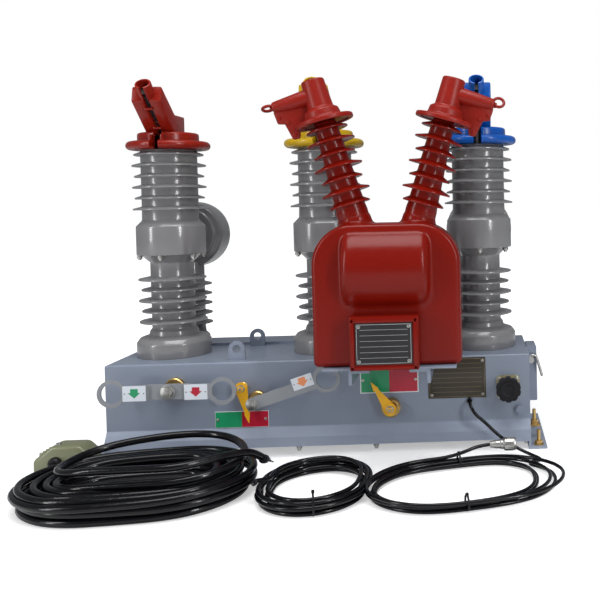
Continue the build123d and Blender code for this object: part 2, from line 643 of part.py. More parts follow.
def cable_gland():
    """Nylon gland under the nameplate, where the signal lead comes out."""
    gland = rod(GLAND_X, GLAND_Z, GLAND_RADIUS, -GLAND_LENGTH, 0)
    return gland - rod(GLAND_X, GLAND_Z, LEAD_RADIUS + RUNNING_GAP, -GLAND_LENGTH - 1, -GLAND_LENGTH + 4)


LEAD_POINTS = [
    (GLAND_X, -GLAND_LENGTH + 4, GLAND_Z), (GLAND_X, -24, GLAND_Z - 3), (GLAND_X + 10, -32, GLAND_Z - 21),
    (GLAND_X + 29, -32, GLAND_Z - 37), (GLAND_X + 61, -36, GLAND_Z - 69), (GLAND_X + 96, -47, GLAND_Z - 91),
    (GLAND_X + 128, -66, LEAD_RADIUS), (GLAND_X + 144, -94, LEAD_RADIUS),
    (GLAND_X + 143, -124, LEAD_RADIUS),
]


def corner_radii(points):
    """As large an arc at each inner point as its two runs allow."""
    radii = []
    for a, b, c in zip(points, points[1:], points[2:]):
        first, second = Vector(*b) - Vector(*a), Vector(*c) - Vector(*b)
        turn = radians(first.get_angle(second))
        radii.append(0.45 * min(first.length, second.length) / tan(turn / 2))
    return radii


def signal_lead_tube():
    """The stretch of signal lead between its gland and its coil."""
    radii = corner_radii(LEAD_POINTS)
    path = FilletPolyline(*LEAD_POINTS, radius=radii)
    tube = sweep(Plane(origin=path @ 0, z_dir=path % 0) * Circle(LEAD_RADIUS), path=path)
    print("lead radii", [round(r) for r in radii], "length", round(path.length, 1),
          "volume ratio", round(tube.volume / (path.length * pi * LEAD_RADIUS ** 2), 4))
    return tube


def signal_plug():
    """Round metal connector of the signal lead, lying on its coil."""
    z = LEAD_COIL["height"] + LEAD_PLUG_RADIUS + SEAT_GAP
    outline = [(0, 0), (LEAD_RADIUS + 2, 0), (LEAD_PLUG_RADIUS - 4, 14), (LEAD_PLUG_RADIUS - 4, 26),
               (LEAD_PLUG_RADIUS, 28), (LEAD_PLUG_RADIUS, 50), (LEAD_PLUG_RADIUS - 2, 52), (0, 52)]
    plug = revolve(make_face(Plane.XZ * Polyline(*outline, close=True)), Axis.Z)
    return Pos(LEAD_PLUG_X, LEAD_PLUG_Y, z) * Rot(0, 90, 0) * plug


def coil(x, y, a, b, turn, ring, shift, height):
    """Outer shape of a coil of cable that lies on the floor."""
    face = SlotOverall(2 * a, 2 * b) - Pos(*shift) * SlotOverall(2 * (a - ring), 2 * (b - ring))
    solid = extrude(face, height)
    rims = solid.faces().sort_by(Axis.Z)
    solid = chamfer(rims[-1].edges() + rims[0].edges(), min(ring, height) * 0.2)
    return Pos(x, y, 0) * Rot(0, 0, turn) * solid


def control_cable_tube():
    """The stretch of control cable between its hood and its coil."""
    start, end = CONTROL_COIL["y"] + 60, HOOD_Y - HOOD_WIDTH / 2
    tube = rod(CONTROL_EXIT_X, CONTROL_EXIT_Z, CONTROL_RADIUS, start, end)
    return (tube - coil(**CONTROL_COIL)).solids().sort_by(Axis.Y)[-1]


def control_hood():
    """Angled connector hood on the end of the control cable."""
    half = HOOD_LENGTH / 2
    side = [
        (-half, 0), (half, 0), (half, HOOD_HEIGHT * 0.62), (half - 22, HOOD_HEIGHT),
        (-half + 34, HOOD_HEIGHT), (-half, HOOD_HEIGHT * 0.45),
    ]
    hood = extrude(make_face(Plane.XZ * Polyline(*side, close=True)), HOOD_WIDTH / 2, both=True)
    hood = fillet(hood.edges().filter_by(Axis.Y).filter_by(lambda e: e.center().Z > 1), 6.0)
    return Pos(HOOD_X, HOOD_Y, 0) * hood


save(tank_shell(), "tank_shell")
save(foot_rail(-1), "foot_rail_left")
save(foot_rail(1), "foot_rail_right")
for name, x in zip(SIDES, POLE_X):
    save(pole(x), f"pole_{name}")
    save(terminal_cover(x), f"terminal_cover_{name}")
    save(terminal_stud(x), f"terminal_stud_{name}")
    save(current_transformer(x), f"current_transformer_{name}")
    save(outgoing_terminal(x), f"outgoing_terminal_{name}")
save(ct_shelf(), "ct_shelf")
save(vt_body(), "vt_body")
for name, side in (("left", -1), ("right", 1)):
    save(vt_bushing(side) - vt_body(), f"vt_bushing_{name}")
    save(vt_cap(side), f"vt_cap_{name}")
    save(vt_arm(side), f"vt_arm_{name}")
save(vt_terminal_box(), "vt_terminal_box")
save(vt_nameplate(), "vt_nameplate")
save(vt_base_plate(), "vt_base_plate")
save(operating_lever(), "operating_lever")
save(charge_lever(), "charge_lever")
save(charge_pointer(), "charge_pointer")
save(position_pointer(), "position_pointer")
save(shaft_boss(OPERATING_X, OPERATING_Z, BOSS_RADIUS, BOSS_LENGTH, SHAFT_RADIUS), "operating_boss")
save(shaft_boss(CHARGE_X, CHARGE_Z, BOSS_RADIUS - 3, BOSS_LENGTH, SHAFT_RADIUS), "charge_boss")
save(shaft_boss(CHARGE_POINTER_X, CHARGE_POINTER_Z, 10.0, 6.0, POINTER_SHAFT), "charge_pointer_boss")
save(shaft_boss(POSITION_POINTER_X, POSITION_POINTER_Z, BOSS_RADIUS, 12.0, POINTER_SHAFT), "position_pointer_boss")
save(wall_plate(CHARGE_SIGN, CHARGE_SIGN_AT), "charge_sign")
save(wall_plate(POSITION_SIGN, POSITION_SIGN_AT), "position_sign")
save(wall_plate(NAMEPLATE, NAMEPLATE_AT), "nameplate")
save(lifting_lugs(), "lifting_lugs")
save(control_socket(), "control_socket")
save(socket_cap(), "socket_cap")
save(side_box(), "side_box")
save(side_latch(), "side_latch")
save(earth_stud_upper(), "earth_stud_upper")
save(earth_stud_lower(), "earth_stud_lower")
save(wall_plug(), "wall_plug")
save(cable_gland(), "cable_gland")
save(signal_lead_tube(), "signal_lead_tube")
save(coil(**LEAD_COIL) - coil(**SENSING_COIL), "signal_lead_coil")
save(signal_plug(), "signal_plug")
save(coil(**CONTROL_COIL), "control_cable_coil")
save(coil(**SENSING_COIL) - coil(**CONTROL_COIL), "sensing_lead_coil")
save(control_cable_tube(), "control_cable_tube")
save(control_hood(), "control_hood")
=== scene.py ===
import math
import bmesh
import bpy
from mathutils import Matrix, Vector


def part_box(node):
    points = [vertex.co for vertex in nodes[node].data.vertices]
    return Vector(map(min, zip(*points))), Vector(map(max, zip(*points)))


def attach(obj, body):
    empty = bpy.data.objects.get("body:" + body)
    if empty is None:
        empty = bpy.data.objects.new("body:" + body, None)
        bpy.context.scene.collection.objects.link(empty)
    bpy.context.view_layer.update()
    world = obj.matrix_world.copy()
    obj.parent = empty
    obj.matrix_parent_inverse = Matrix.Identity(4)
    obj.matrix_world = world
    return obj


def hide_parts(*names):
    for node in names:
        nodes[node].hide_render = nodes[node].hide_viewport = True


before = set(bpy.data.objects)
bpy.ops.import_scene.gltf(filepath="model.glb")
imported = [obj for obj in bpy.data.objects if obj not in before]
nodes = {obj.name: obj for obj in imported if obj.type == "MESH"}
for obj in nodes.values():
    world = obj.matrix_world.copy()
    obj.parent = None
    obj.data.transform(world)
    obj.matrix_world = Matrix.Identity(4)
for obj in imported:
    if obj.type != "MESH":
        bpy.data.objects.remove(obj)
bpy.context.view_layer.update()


# Camera. It stands in front of the object, to the right of its middle, and looks
# almost level. Its lens is shifted so that the whole object falls in the frame.
yaw, pitch, roll = -0.045, -0.029, -0.020
camera_place = (0.3329, -1.8012, 0.5257)
forward = Vector((-math.sin(yaw) * math.cos(pitch), math.cos(yaw) * math.cos(pitch), math.sin(pitch)))
level = Vector((math.cos(yaw), math.sin(yaw), 0))
upright = level.cross(forward)
right = level * math.cos(roll) + upright * math.sin(roll)
above = upright * math.cos(roll) - level * math.sin(roll)
view = Matrix((right, above, -forward)).transposed().to_4x4()
lens = bpy.data.cameras.new("camera")
lens.sensor_width = 36
lens.lens = 48
lens.shift_x = -0.353
lens.shift_y = -0.128
lens.clip_end = 50
camera = bpy.data.objects.new("camera", lens)
bpy.context.scene.collection.objects.link(camera)
camera.matrix_world = Matrix.Translation(camera_place) @ view
bpy.context.scene.camera = camera


# Cables. The jackets are black extruded PVC with a soft shine. Each cord is one
# spline: its free stretch, its turns on the floor and its loose end.
class Wire:
    """A shader value that takes part in sums like a number."""

    def __init__(self, shades, socket):
        self.shades = shades
        self.socket = socket

    def maths(self, operation, first, second):
        return self.shades.node("ShaderNodeMath", {"operation": operation}, {0: first, 1: second})

    def __add__(self, other):
        return self.maths("ADD", self, other)

    def __radd__(self, other):
        return self.maths("ADD", other, self)

    def __sub__(self, other):
        return self.maths("SUBTRACT", self, other)

    def __rsub__(self, other):
        return self.maths("SUBTRACT", other, self)

    def __mul__(self, other):
        return self.maths("MULTIPLY", self, other)

    def __rmul__(self, other):
        return self.maths("MULTIPLY", other, self)

    def above(self, edge, softness):
        """0 below the edge and 1 above it, with a soft step between."""
        return self.shades.node("ShaderNodeMapRange", {}, {0: self, 1: edge - softness, 2: edge + softness})


class Shades:
    """A tree of shader nodes."""

    def __init__(self, tree):
        self.tree = tree

    def feed(self, socket, value):
        if isinstance(value, Wire):
            self.tree.links.new(value.socket, socket)
        else:
            socket.default_value = value

    def node(self, kind, settings, sockets, output=0):
        node = self.tree.nodes.new(kind)
        for name, value in settings.items():
            setattr(node, name, value)
        for name, value in sockets.items():
            self.feed(node.inputs[name], value)
        return Wire(self, node.outputs[output])


class Look(Shades):
    """One material: a Principled shader and the nodes that feed it."""

    def __init__(self, name, colour, rough, metal=0.0, coat=0.0):
        self.material = bpy.data.materials.new(name)
        self.material.use_nodes = True
        super().__init__(self.material.node_tree)
        self.shader = self.tree.nodes["Principled BSDF"]
        self.colour = (*colour, 1)
        self.give("Base Color", self.colour)
        self.give("Roughness", rough)
        self.give("Metallic", metal)
        self.give("Coat Weight", coat)
        self.give("Coat Roughness", 0.12)

    def give(self, name, value):
        self.feed(self.shader.inputs[name], value)

    def place(self):
        return self.node("ShaderNodeTexCoord", {}, {}, "Object")

    def along(self, axis):
        return self.node("ShaderNodeSeparateXYZ", {}, {"Vector": self.place()}, axis)

    def noise(self, scale, detail=3.0):
        return self.node("ShaderNodeTexNoise", {}, {"Vector": self.place(), "Scale": scale, "Detail": detail})

    def mix(self, factor, first, second):
        return self.node("ShaderNodeMix", {"data_type": "RGBA"}, {0: factor, 6: first, 7: second}, 2)

    def tint(self, factor, colour):
        """Blend the base colour towards another colour."""
        source = self.shader.inputs["Base Color"]
        first = Wire(self, source.links[0].from_socket) if source.links else self.colour
        self.give("Base Color", self.mix(factor, first, (*colour, 1)))

    def bumps(self, height, distance):
        sockets = {"Strength": 0.5, "Distance": distance, "Height": height}
        self.give("Normal", self.node("ShaderNodeBump", {}, sockets))


jacket = Look("cable jacket", (0.003, 0.003, 0.0042), 0.3)
jacket.give("Roughness", jacket.noise(45) * 0.26 + 0.07)
jacket.give("Specular IOR Level", 0.3)
jacket.bumps(jacket.noise(90), 0.0008)


def cable(name, points, diameter, look):
    """A round cord along its control points."""
    curve = bpy.data.curves.new(name, "CURVE")
    curve.dimensions = "3D"
    curve.bevel_depth = diameter / 2
    curve.bevel_resolution = 4
    curve.resolution_u = 4
    curve.use_fill_caps = True
    spline = curve.splines.new("NURBS")
    spline.points.add(len(points) - 1)
    for knot, point in zip(spline.points, points):
        knot.co = (*point, 1)
    spline.order_u = 3
    spline.use_endpoint_u = True
    curve.materials.append(look.material)
    cord = bpy.data.objects.new(name, curve)
    bpy.context.scene.collection.objects.link(cord)
    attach(cord, "recloser")
    return cord


spine_inset = 0.02


def oval(coil, share):
    """A point on the spine of a coil with round ends, and the way outwards there."""
    half, radius = coil["half"], coil["radius"] - spine_inset
    quarter, length = math.pi * radius / 2, 2 * half
    run = share % 1.0 * (4 * quarter + 2 * length)
    if run < quarter:
        angle, x = run / radius, half
    elif run < quarter + length:
        angle, x = math.pi / 2, half - (run - quarter)
    elif run < 3 * quarter + length:
        angle, x = (run - length) / radius, -half
    elif run < 3 * quarter + 2 * length:
        angle, x = 1.5 * math.pi, run - 3 * quarter - length - half
    else:
        angle, x = (run - 2 * length) / radius, half
    return Vector((x, 0, 0)), Vector((math.cos(angle), math.sin(angle), 0))


def rows(turned, step, gap, length):
    """Where a turn lies in the coil's section: rows joined by half circles."""
    period = length + math.pi * gap / 2
    row = int(turned * step // period)
    rest = turned * step - row * period
    inwards, rise = rest, row * gap
    if rest > length:
        angle = (rest - length) / (gap / 2)
        inwards = length + gap / 2 * math.sin(angle)
        rise += gap / 2 * (1 - math.cos(angle))
    return (length - inwards if row % 2 else inwards) + gap / 2, rise


points_a_turn = 24
stray_angle = 2.4


def turns(coil, first, count, way, lie):
    """Control points of a coil: count turns from a share of the way round."""
    half_long = coil["half"] + coil["radius"]
    rotate = Matrix.Rotation(math.radians(coil["turn"]), 3, "Z")
    points = []
    for k in range(int(count * points_a_turn) + 1):
        turned = k / points_a_turn
        share = first + way * turned
        spine, outwards = oval(coil, share)
        inwards, rise = rows(turned, coil["step"], coil["gap"], coil["length"])
        spread, lift = lie(share % 1.0, turned)
        inset = coil["diameter"] / 2 + inwards * (1 + spread)
        point = spine + outwards * (coil["radius"] - inset)
        point.y *= 1 - coil["pinch"] * (point.x / half_long) ** 2
        angle = stray_angle * turned
        point += Vector((math.cos(angle) - 1, math.sin(angle), 0)) * coil["stray"] * min(turned, 1)
        point.z = coil["diameter"] / 2 + rise + lift
        points.append(Vector((coil["x"], coil["y"], 0)) + rotate @ point)
    return points


def bell(share, centre, width):
    """A smooth rise round one place of a coil."""
    away = abs((share - centre + 0.5) % 1.0 - 0.5) / width
    return 0.5 + 0.5 * math.cos(math.pi * away) if away < 1 else 0.0


def ramp(turned, start, length):
    """A rise from 0 to 1 over a number of turns."""
    return min(max((turned - start) / length, 0), 1)


control = dict(
    x=-0.2855, y=-0.335, half=0.066, radius=0.149, turn=5, pinch=0.16, stray=0.003,
    diameter=0.014, step=0.0196, gap=0.0168, length=0.060,
)


def control_lie(share, turned):
    """The last turns lie loose, and the very last is flung over the right-hand end."""
    loose = ramp(turned, 10.6, 2.4)
    flung = bell(turned, 12.64, 0.5) if turned > 12.1 else 0.0
    arched = 0.013 * bell(share, 0.24, 0.28) + 0.004 * bell(share, 0.75, 0.2)
    lift = 0.003 * bell(share, 0.1, 0.3) + loose * arched + 0.014 * flung
    spread = 0.16 * bell(share, 0.42, 0.2) + 0.10 * bell(share, 0.02, 0.15)
    return spread - 0.85 * flung, lift + 0.014 * ramp(turned, 12.9, 0.35)


control_points = [Vector((-0.510, -0.188, 0.022)), Vector((-0.510, -0.206, 0.019))]
control_points += [Vector((-0.509, -0.228, 0.013))]
control_points += turns(control, first=0.435, count=13.45, way=1, lie=control_lie)
control_points += [Vector((-0.098, -0.352, 0.082)), Vector((-0.080, -0.326, 0.072))]
control_points += [Vector((-0.070, -0.302, 0.052))]
control_cable = cable("control_cable", control_points, control["diameter"], jacket)
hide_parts("control_cable_coil", "control_cable_tube")

sensing = dict(
    x=0.030, y=-0.343, half=0.0205, radius=0.104, turn=90, pinch=0.05, stray=0.001,
    diameter=0.008, step=0.011, gap=0.0095, length=0.008,
)


def sensing_lie(share, turned):
    return 0.5 * bell(share, 0.3, 0.25), 0.004 * bell(share, 0.9, 0.2)


sensing_points = [Vector((-0.0735, -0.300, 0.005)), Vector((-0.0735, -0.318, 0.004))]
sensing_points += turns(sensing, first=0.27, count=6.0, way=1, lie=sensing_lie)
sensing_points += [Vector((-0.070, -0.372, 0.036)), Vector((-0.066, -0.392, 0.038))]
sensing_lead = cable("sensing_lead", sensing_points, sensing["diameter"], jacket)
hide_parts("sensing_lead_coil")

signal = dict(
    x=0.308, y=-0.342, half=0.066, radius=0.124, turn=14, pinch=0.14, stray=0.0015,
    diameter=0.007, step=0.0096, gap=0.0086, length=0.0102,
)
signal_points = [
    Vector((0.312, -0.124, 0.105)), Vector((0.312, -0.144, 0.102)), Vector((0.322, -0.152, 0.084)),
    Vector((0.341, -0.152, 0.068)), Vector((0.373, -0.156, 0.036)), Vector((0.408, -0.167, 0.014)),
    Vector((0.440, -0.186, 0.0037)), Vector((0.458, -0.214, 0.0036)),
]


def signal_lie(share, turned):
    return 2.4 * bell(share, 0.97, 0.22), 0.0


signal_points += turns(signal, first=0.10, count=4.86, way=-1, lie=signal_lie)
signal_points += [Vector((0.300, -0.236, 0.031)), Vector((0.328, -0.221, 0.038))]
signal_points += [Vector((0.354, -0.217, 0.0393))]
signal_lead = cable("signal_lead", signal_points, signal["diameter"], jacket)
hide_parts("signal_lead_coil", "signal_lead_tube")


# Tank. Folded and seam-welded sheet steel with a flared skirt, on two folded
# foot rails, all sprayed with one coat of blue-grey enamel.
def dress(look, *names):
    """Give CAD pieces their finish."""
    for name in names:
        mesh = nodes[name].data
        mesh.materials.clear()
        mesh.materials.append(look.material)


skirt_top = 0.062
tank_paint = Look("tank paint", (0.195, 0.228, 0.295), 0.38, coat=0.15)
# Painted reflection: below the top of the skirt the enamel is painted lighter, standing in for the bright
# floor that the flare reflects.
tank_paint.tint(1 - tank_paint.along(2).above(skirt_top, 0.003), (0.262, 0.302, 0.385))
tank_paint.tint(tank_paint.noise(9, 4).above(0.62, 0.12) * 0.25, (0.168, 0.198, 0.258))
tank_paint.give("Roughness", tank_paint.noise(40) * 0.2 + 0.28)
tank_paint.bumps(tank_paint.noise(380, 2), 0.0004)
dress(tank_paint, "tank_shell", "foot_rail_left", "foot_rail_right", "lifting_lugs", "ct_shelf", "side_box")
dress(tank_paint, "vt_arm_left", "vt_arm_right", "vt_base_plate")


def merge(bm, part, place, index=0):
    """Add a finished part to a piece, in its place and with its material."""
    for face in part.faces:
        face.material_index = index
    part.transform(place)
    if place.determinant() < 0:
        bmesh.ops.reverse_faces(part, faces=part.faces)
    mesh = bpy.data.meshes.new("part")
    part.to_mesh(mesh)
    bm.from_mesh(mesh)
    bpy.data.meshes.remove(mesh)
    part.free()


def brick(bm, low, high, bevel=0.0, index=0, place=Matrix()):
    """A block between two corners with softened edges."""
    part = bmesh.new()
    bmesh.ops.create_cube(part, size=1)
    centre = (Vector(low) + Vector(high)) / 2
    bmesh.ops.scale(part, vec=Vector(high) - Vector(low), verts=part.verts)
    bmesh.ops.translate(part, vec=centre, verts=part.verts)
    if bevel:
        bmesh.ops.bevel(
            part, geom=part.edges[:], offset=bevel, offset_type="OFFSET", segments=2, profile=0.5,
            affect="EDGES", material=-1,
        )
    merge(bm, part, place, index)


sharp_angle = 0.4


def prism(bm, outline, depth, place, bevel=0.0, index=0, segments=2):
    """Extrude a flat outline along its own Z and soften its edges."""
    part = bmesh.new()
    face = part.faces.new([part.verts.new((x, y, 0)) for x, y in outline])
    raised = bmesh.ops.extrude_face_region(part, geom=[face])["geom"]
    raised = [item for item in raised if isinstance(item, bmesh.types.BMVert)]
    bmesh.ops.translate(part, verts=raised, vec=(0, 0, depth))
    bmesh.ops.recalc_face_normals(part, faces=part.faces)
    if bevel:
        sharp = [edge for edge in part.edges if edge.calc_face_angle(0) > sharp_angle]
        bmesh.ops.bevel(
            part, geom=sharp, offset=bevel, offset_type="OFFSET", segments=segments, profile=0.5,
            affect="EDGES", material=-1, clamp_overlap=True,
        )
    merge(bm, part, place, index)


def rounded(points, radius, steps=3):
    """Round the inner corners of an outline, by less than half of its edges."""
    line = [Vector(points[0])]
    most = 0.45
    for before, corner, after in zip(points, points[1:], points[2:]):
        back, on = Vector(before) - Vector(corner), Vector(after) - Vector(corner)
        start = Vector(corner) + back.normalized() * min(radius, back.length * most)
        end = Vector(corner) + on.normalized() * min(radius, on.length * most)
        for k in range(steps + 1):
            share = k / steps
            line.append(start.lerp(Vector(corner), share).lerp(Vector(corner).lerp(end, share), share))
    return line + [Vector(points[-1])]


def lathe(bm, outline, place, index=0, steps=72):
    """Spin an outline of radii and heights right round its own upright axis."""
    part = bmesh.new()
    line = [part.verts.new((radius, 0, height)) for radius, height in outline]
    edges = [part.edges.new(pair) for pair in zip(line, line[1:])]
    bmesh.ops.spin(
        part, geom=line + edges, axis=(0, 0, 1), cent=(0, 0, 0), dvec=(0, 0, 0),
        angle=math.tau, steps=steps, use_merge=True,
    )
    bmesh.ops.remove_doubles(part, verts=part.verts, dist=1e-5)
    bmesh.ops.recalc_face_normals(part, faces=part.faces)
    merge(bm, part, place, index)


def pin(bm, radius, low, high, place, index=0, steps=16, soft=0.0):
    """A round pin between two heights of its own axis, with soft rims where asked."""
    outline = [(0, low), (radius, low), (radius, high), (0, high)]
    lathe(bm, rounded(outline, soft, 2) if soft else outline, place, index, steps)


def piece(name, bm, looks, body="recloser", gone=(), angle=35):
    """Make the finished mesh an object that rides on its body."""
    mesh = bpy.data.meshes.new(name)
    bm.to_mesh(mesh)
    bm.free()
    for look in looks:
        mesh.materials.append(look.material)
    mesh.shade_smooth()
    mesh.set_sharp_from_angle(angle=math.radians(angle))
    made = bpy.data.objects.new(name, mesh)
    bpy.context.scene.collection.objects.link(made)
    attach(made, body)
    if gone:
        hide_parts(*gone)
    return made


def spot(x, y, z):
    return Matrix.Translation((x, y, z))


facing = Matrix(((1, 0, 0, 0), (0, 0, -1, 0), (0, 1, 0, 0), (0, 0, 0, 1)))
zinc = Look("zinc plated steel", (0.46, 0.46, 0.44), 0.32, metal=1.0)
zinc.give("Roughness", zinc.noise(90) * 0.25 + 0.25)


def hexagon(bm, radius, depth, place, index=0):
    """A chamfered hexagon nut that stands on its own XY plane."""
    corners = [(radius * math.cos(math.tau * k / 6), radius * math.sin(math.tau * k / 6)) for k in range(6)]
    prism(bm, corners, depth, place, radius * 0.07, index)


screw_places = (-0.432, -0.19, -0.045, 0.115, 0.43)
screw_y, screw_tip, screw_head = -0.126, 0.012, 0.017
head_radius, head_tall, shank_radius, shank_long = 0.006, 0.005, 0.004, 0.008
screws = bmesh.new()
for x in screw_places:
    hexagon(screws, head_radius, head_tall, spot(x, screw_y, screw_head))
    pin(screws, shank_radius, 0, shank_long, spot(x, screw_y, screw_tip))
piece("tank_bottom_bolts", screws, [zinc])

# Poles. Each vacuum interrupter is cast in grey cycloaliphatic resin, one piece
# with its rain sheds. Six bolts sit under its collar.
pole_resin = Look("grey resin", (0.172, 0.172, 0.18), 0.3, coat=0.3)
pole_resin.tint(pole_resin.noise(5, 2).above(0.55, 0.25) * 0.4, (0.192, 0.189, 0.185))
pole_resin.give("Roughness", pole_resin.noise(12) * 0.1 + 0.17)
pole_resin.bumps(pole_resin.noise(60, 1), 0.0003)
tinned = Look("tinned copper", (0.62, 0.6, 0.56), 0.35, metal=1.0)


def sheds(first, pitch, count, core, tips, root=0.0075, tip=0.0028):
    """Half outlines of rain sheds with flat undersides, from the lowest up."""
    line = []
    for k in range(count):
        height, reach = first + k * pitch, tips[k % 2]
        line += [(core(height), height), (reach, height - 0.0008)]
        line += [(reach, height + tip), (core(height), height + root)]
    return line


def middle(low, high, axis=0):
    return (low[axis] + high[axis]) / 2


foot_radius, lower_core, collar_radius, upper_core = 0.077, 0.045, 0.0715, 0.058
bolt_count, bolt_circle, bolt_height = 6, 0.066, 0.2145
bolt_radius, bolt_tall, stem_radius, stem_long = 0.0062, 0.0075, 0.0035, 0.003
pole_low, pole_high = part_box("pole_left")
pole_tall = pole_high[2] - pole_low[2]
pole_line = [(0, 0), (foot_radius, 0), (foot_radius, 0.030), (0.070, 0.040)]
pole_line += [(0.052, 0.046), (0.049, 0.056), (lower_core, 0.060)]
pole_line += sheds(first=0.074, pitch=0.0232, count=5, core=lambda z: lower_core, tips=(0.070, 0.0645))
pole_line += [(lower_core, 0.205), (0.062, 0.221), (collar_radius, 0.222), (collar_radius, 0.284)]
pole_line += [(0.0585, 0.297)]
pole_line += sheds(first=0.320, pitch=0.0237, count=6, core=lambda z: upper_core, tips=(0.076, 0.0715))
pole_line += [(upper_core, pole_tall), (0, pole_tall)]
for name in ("left", "centre", "right"):
    low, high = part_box(f"pole_{name}")
    pole_x = middle(low, high)
    column = bmesh.new()
    lathe(column, rounded(pole_line, 0.0016, 2), spot(pole_x, 0, low[2]), steps=96)
    piece(f"pole_body_{name}", column, [pole_resin], gone=(f"pole_{name}",))
    bolts = bmesh.new()
    for k in range(bolt_count):
        angle = math.tau * (k + 0.5) / bolt_count
        bolt_x = pole_x + bolt_circle * math.cos(angle)
        foot = spot(bolt_x, bolt_circle * math.sin(angle), low[2] + bolt_height)
        hexagon(bolts, bolt_radius, bolt_tall, foot)
        pin(bolts, stem_radius, -stem_long, 0, foot)
    piece(f"collar_bolts_{name}", bolts, [zinc])
    dress(tinned, f"terminal_stud_{name}", f"outgoing_terminal_{name}")

# Current transformers. The same resin, cast as a shedded foot with a drum on it
# that holds the winding round the outgoing rod of its pole.
stem, bore, drum_radius, drum_depth = 0.029, 0.013, 0.077, 0.085
foot_y, foot_tall, drum_z = 0.116, 0.19, 0.459
foot_line = [(0, 0), (0.038, 0), (0.038, 0.016), (0.030, 0.024), (stem, 0.036)]
foot_line += sheds(first=0.045, pitch=0.0227, count=5, core=lambda z: stem, tips=(0.045, 0.045))
foot_line += [(stem, foot_tall), (0, foot_tall)]
drum_line = [(bore, 0), (0.060, 0), (0.064, 0.004), (drum_radius, 0.006), (drum_radius, drum_depth - 0.006)]
drum_line += [(0.064, drum_depth - 0.004), (0.060, drum_depth), (bore, drum_depth), (bore, 0)]
for name in ("left", "centre", "right"):
    node = f"current_transformer_{name}"
    low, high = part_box(node)
    unit_x = middle(low, high)
    unit = bmesh.new()
    lathe(unit, rounded(foot_line, 0.0015, 2), spot(unit_x, foot_y, low[2]), steps=64)
    lathe(unit, rounded(drum_line, 0.006, 4), spot(unit_x, high[1], drum_z) @ facing, steps=96)
    piece(f"transformer_body_{name}", unit, [pole_resin], gone=(node,))

# Terminal covers. Moulded silicone rubber, one colour a phase, slit along the
# front so that they slip over the cable and close with small press studs.
cover_side = Matrix(((0, 0, -1, 0), (-1, 0, 0, 0), (0, 1, 0, 0), (0, 0, 0, 1)))
# Painted shade: a near-black material for the hollows of each cover, where they lie in shade.
painted_hollow_shade = Look("shadowed inside", (0.012, 0.008, 0.008), 0.7)


def turn(degrees, axis):
    return Matrix.Rotation(math.radians(degrees), 4, axis)


def sweep(bm, outline, opening, place, index=0, steps=72):
    """Spin a closed outline round its upright axis, but for an opening at the front."""
    part = bmesh.new()
    start = math.radians(-90 + opening / 2)
    along, across = math.cos(start), math.sin(start)
    line = [part.verts.new((radius * along, radius * across, height)) for radius, height in outline]
    edges = [part.edges.new(pair) for pair in zip(line, line[1:] + line[:1])]
    bmesh.ops.spin(
        part, geom=line + edges, axis=(0, 0, 1), cent=(0, 0, 0), dvec=(0, 0, 0),
        angle=math.tau - math.radians(opening), steps=steps, use_merge=False,
    )
    bmesh.ops.remove_doubles(part, verts=part.verts, dist=1e-5)
    bmesh.ops.holes_fill(part, edges=part.edges, sides=0)
    bmesh.ops.recalc_face_normals(part, faces=part.faces)
    merge(bm, part, place, index)


def circle(radius, x, z, steps):
    """Points round a circle of an outline."""
    angles = [math.tau * k / steps for k in range(steps)]
    return [(x + radius * math.cos(a), z + radius * math.sin(a)) for a in angles]


rim_opening, hub_opening, mouth_opening = 12, 16, 34
half_chute, slit, chute_edge = 0.030, 0.0105, 0.0032
chute = [(0.040, 0.030), (0.117, 0.094), (0.109, 0.126), (0.038, 0.074), (-0.018, 0.074), (-0.018, 0.030)]
chute_roof = [(-0.018, 0.052), (-0.018, 0.074), (0.038, 0.074), (0.109, 0.126)]
chute_roof += [(0.1126, 0.1116), (0.102, 0.101), (0.036, 0.050)]
# Outline of a painted shade strip along the bottom of the slit.
chute_painted_shade = [(0.020, 0.038), (0.036, 0.0495), (0.102, 0.1005), (0.1126, 0.111)]
chute_painted_shade += [(0.114, 0.106), (0.104, 0.094), (0.030, 0.036)]
rim_ring = circle(0.009, 0.0775, 0.0093, 20)
rim_web = [(0.060, 0.0065), (0.080, 0.0065), (0.080, 0.0121), (0.060, 0.0121)]
hub_radius, hub_tall, hub_gauge = 0.063, 0.037, 0.004
hub_wall = rounded([(0.0565, 0.0), (hub_radius, 0.0), (hub_radius, hub_tall), (0.004, hub_tall)], 0.006, 4)
hub_wall += [Vector((0.004, hub_tall - hub_gauge)), Vector((0.0565, hub_tall - hub_gauge))]
mouth_bore, mouth_radius, mouth_foot, mouth_top = 0.0125, 0.016, -0.020, 0.012
mouth_wall = [(mouth_bore, mouth_foot), (mouth_radius, mouth_foot)]
mouth_wall += [(mouth_radius, mouth_top), (mouth_bore, mouth_top)]
mouth_forward, mouth_rise, mouth_lean = 0.121, 0.120, 45
stud_places, stud_radius, stud_long = ((0.0592, 0.0438), (0.1022, 0.0798)), 0.0026, 0.017
lug_forward, lug_apart, lug_wide = 0.0665, 0.012, 0.006


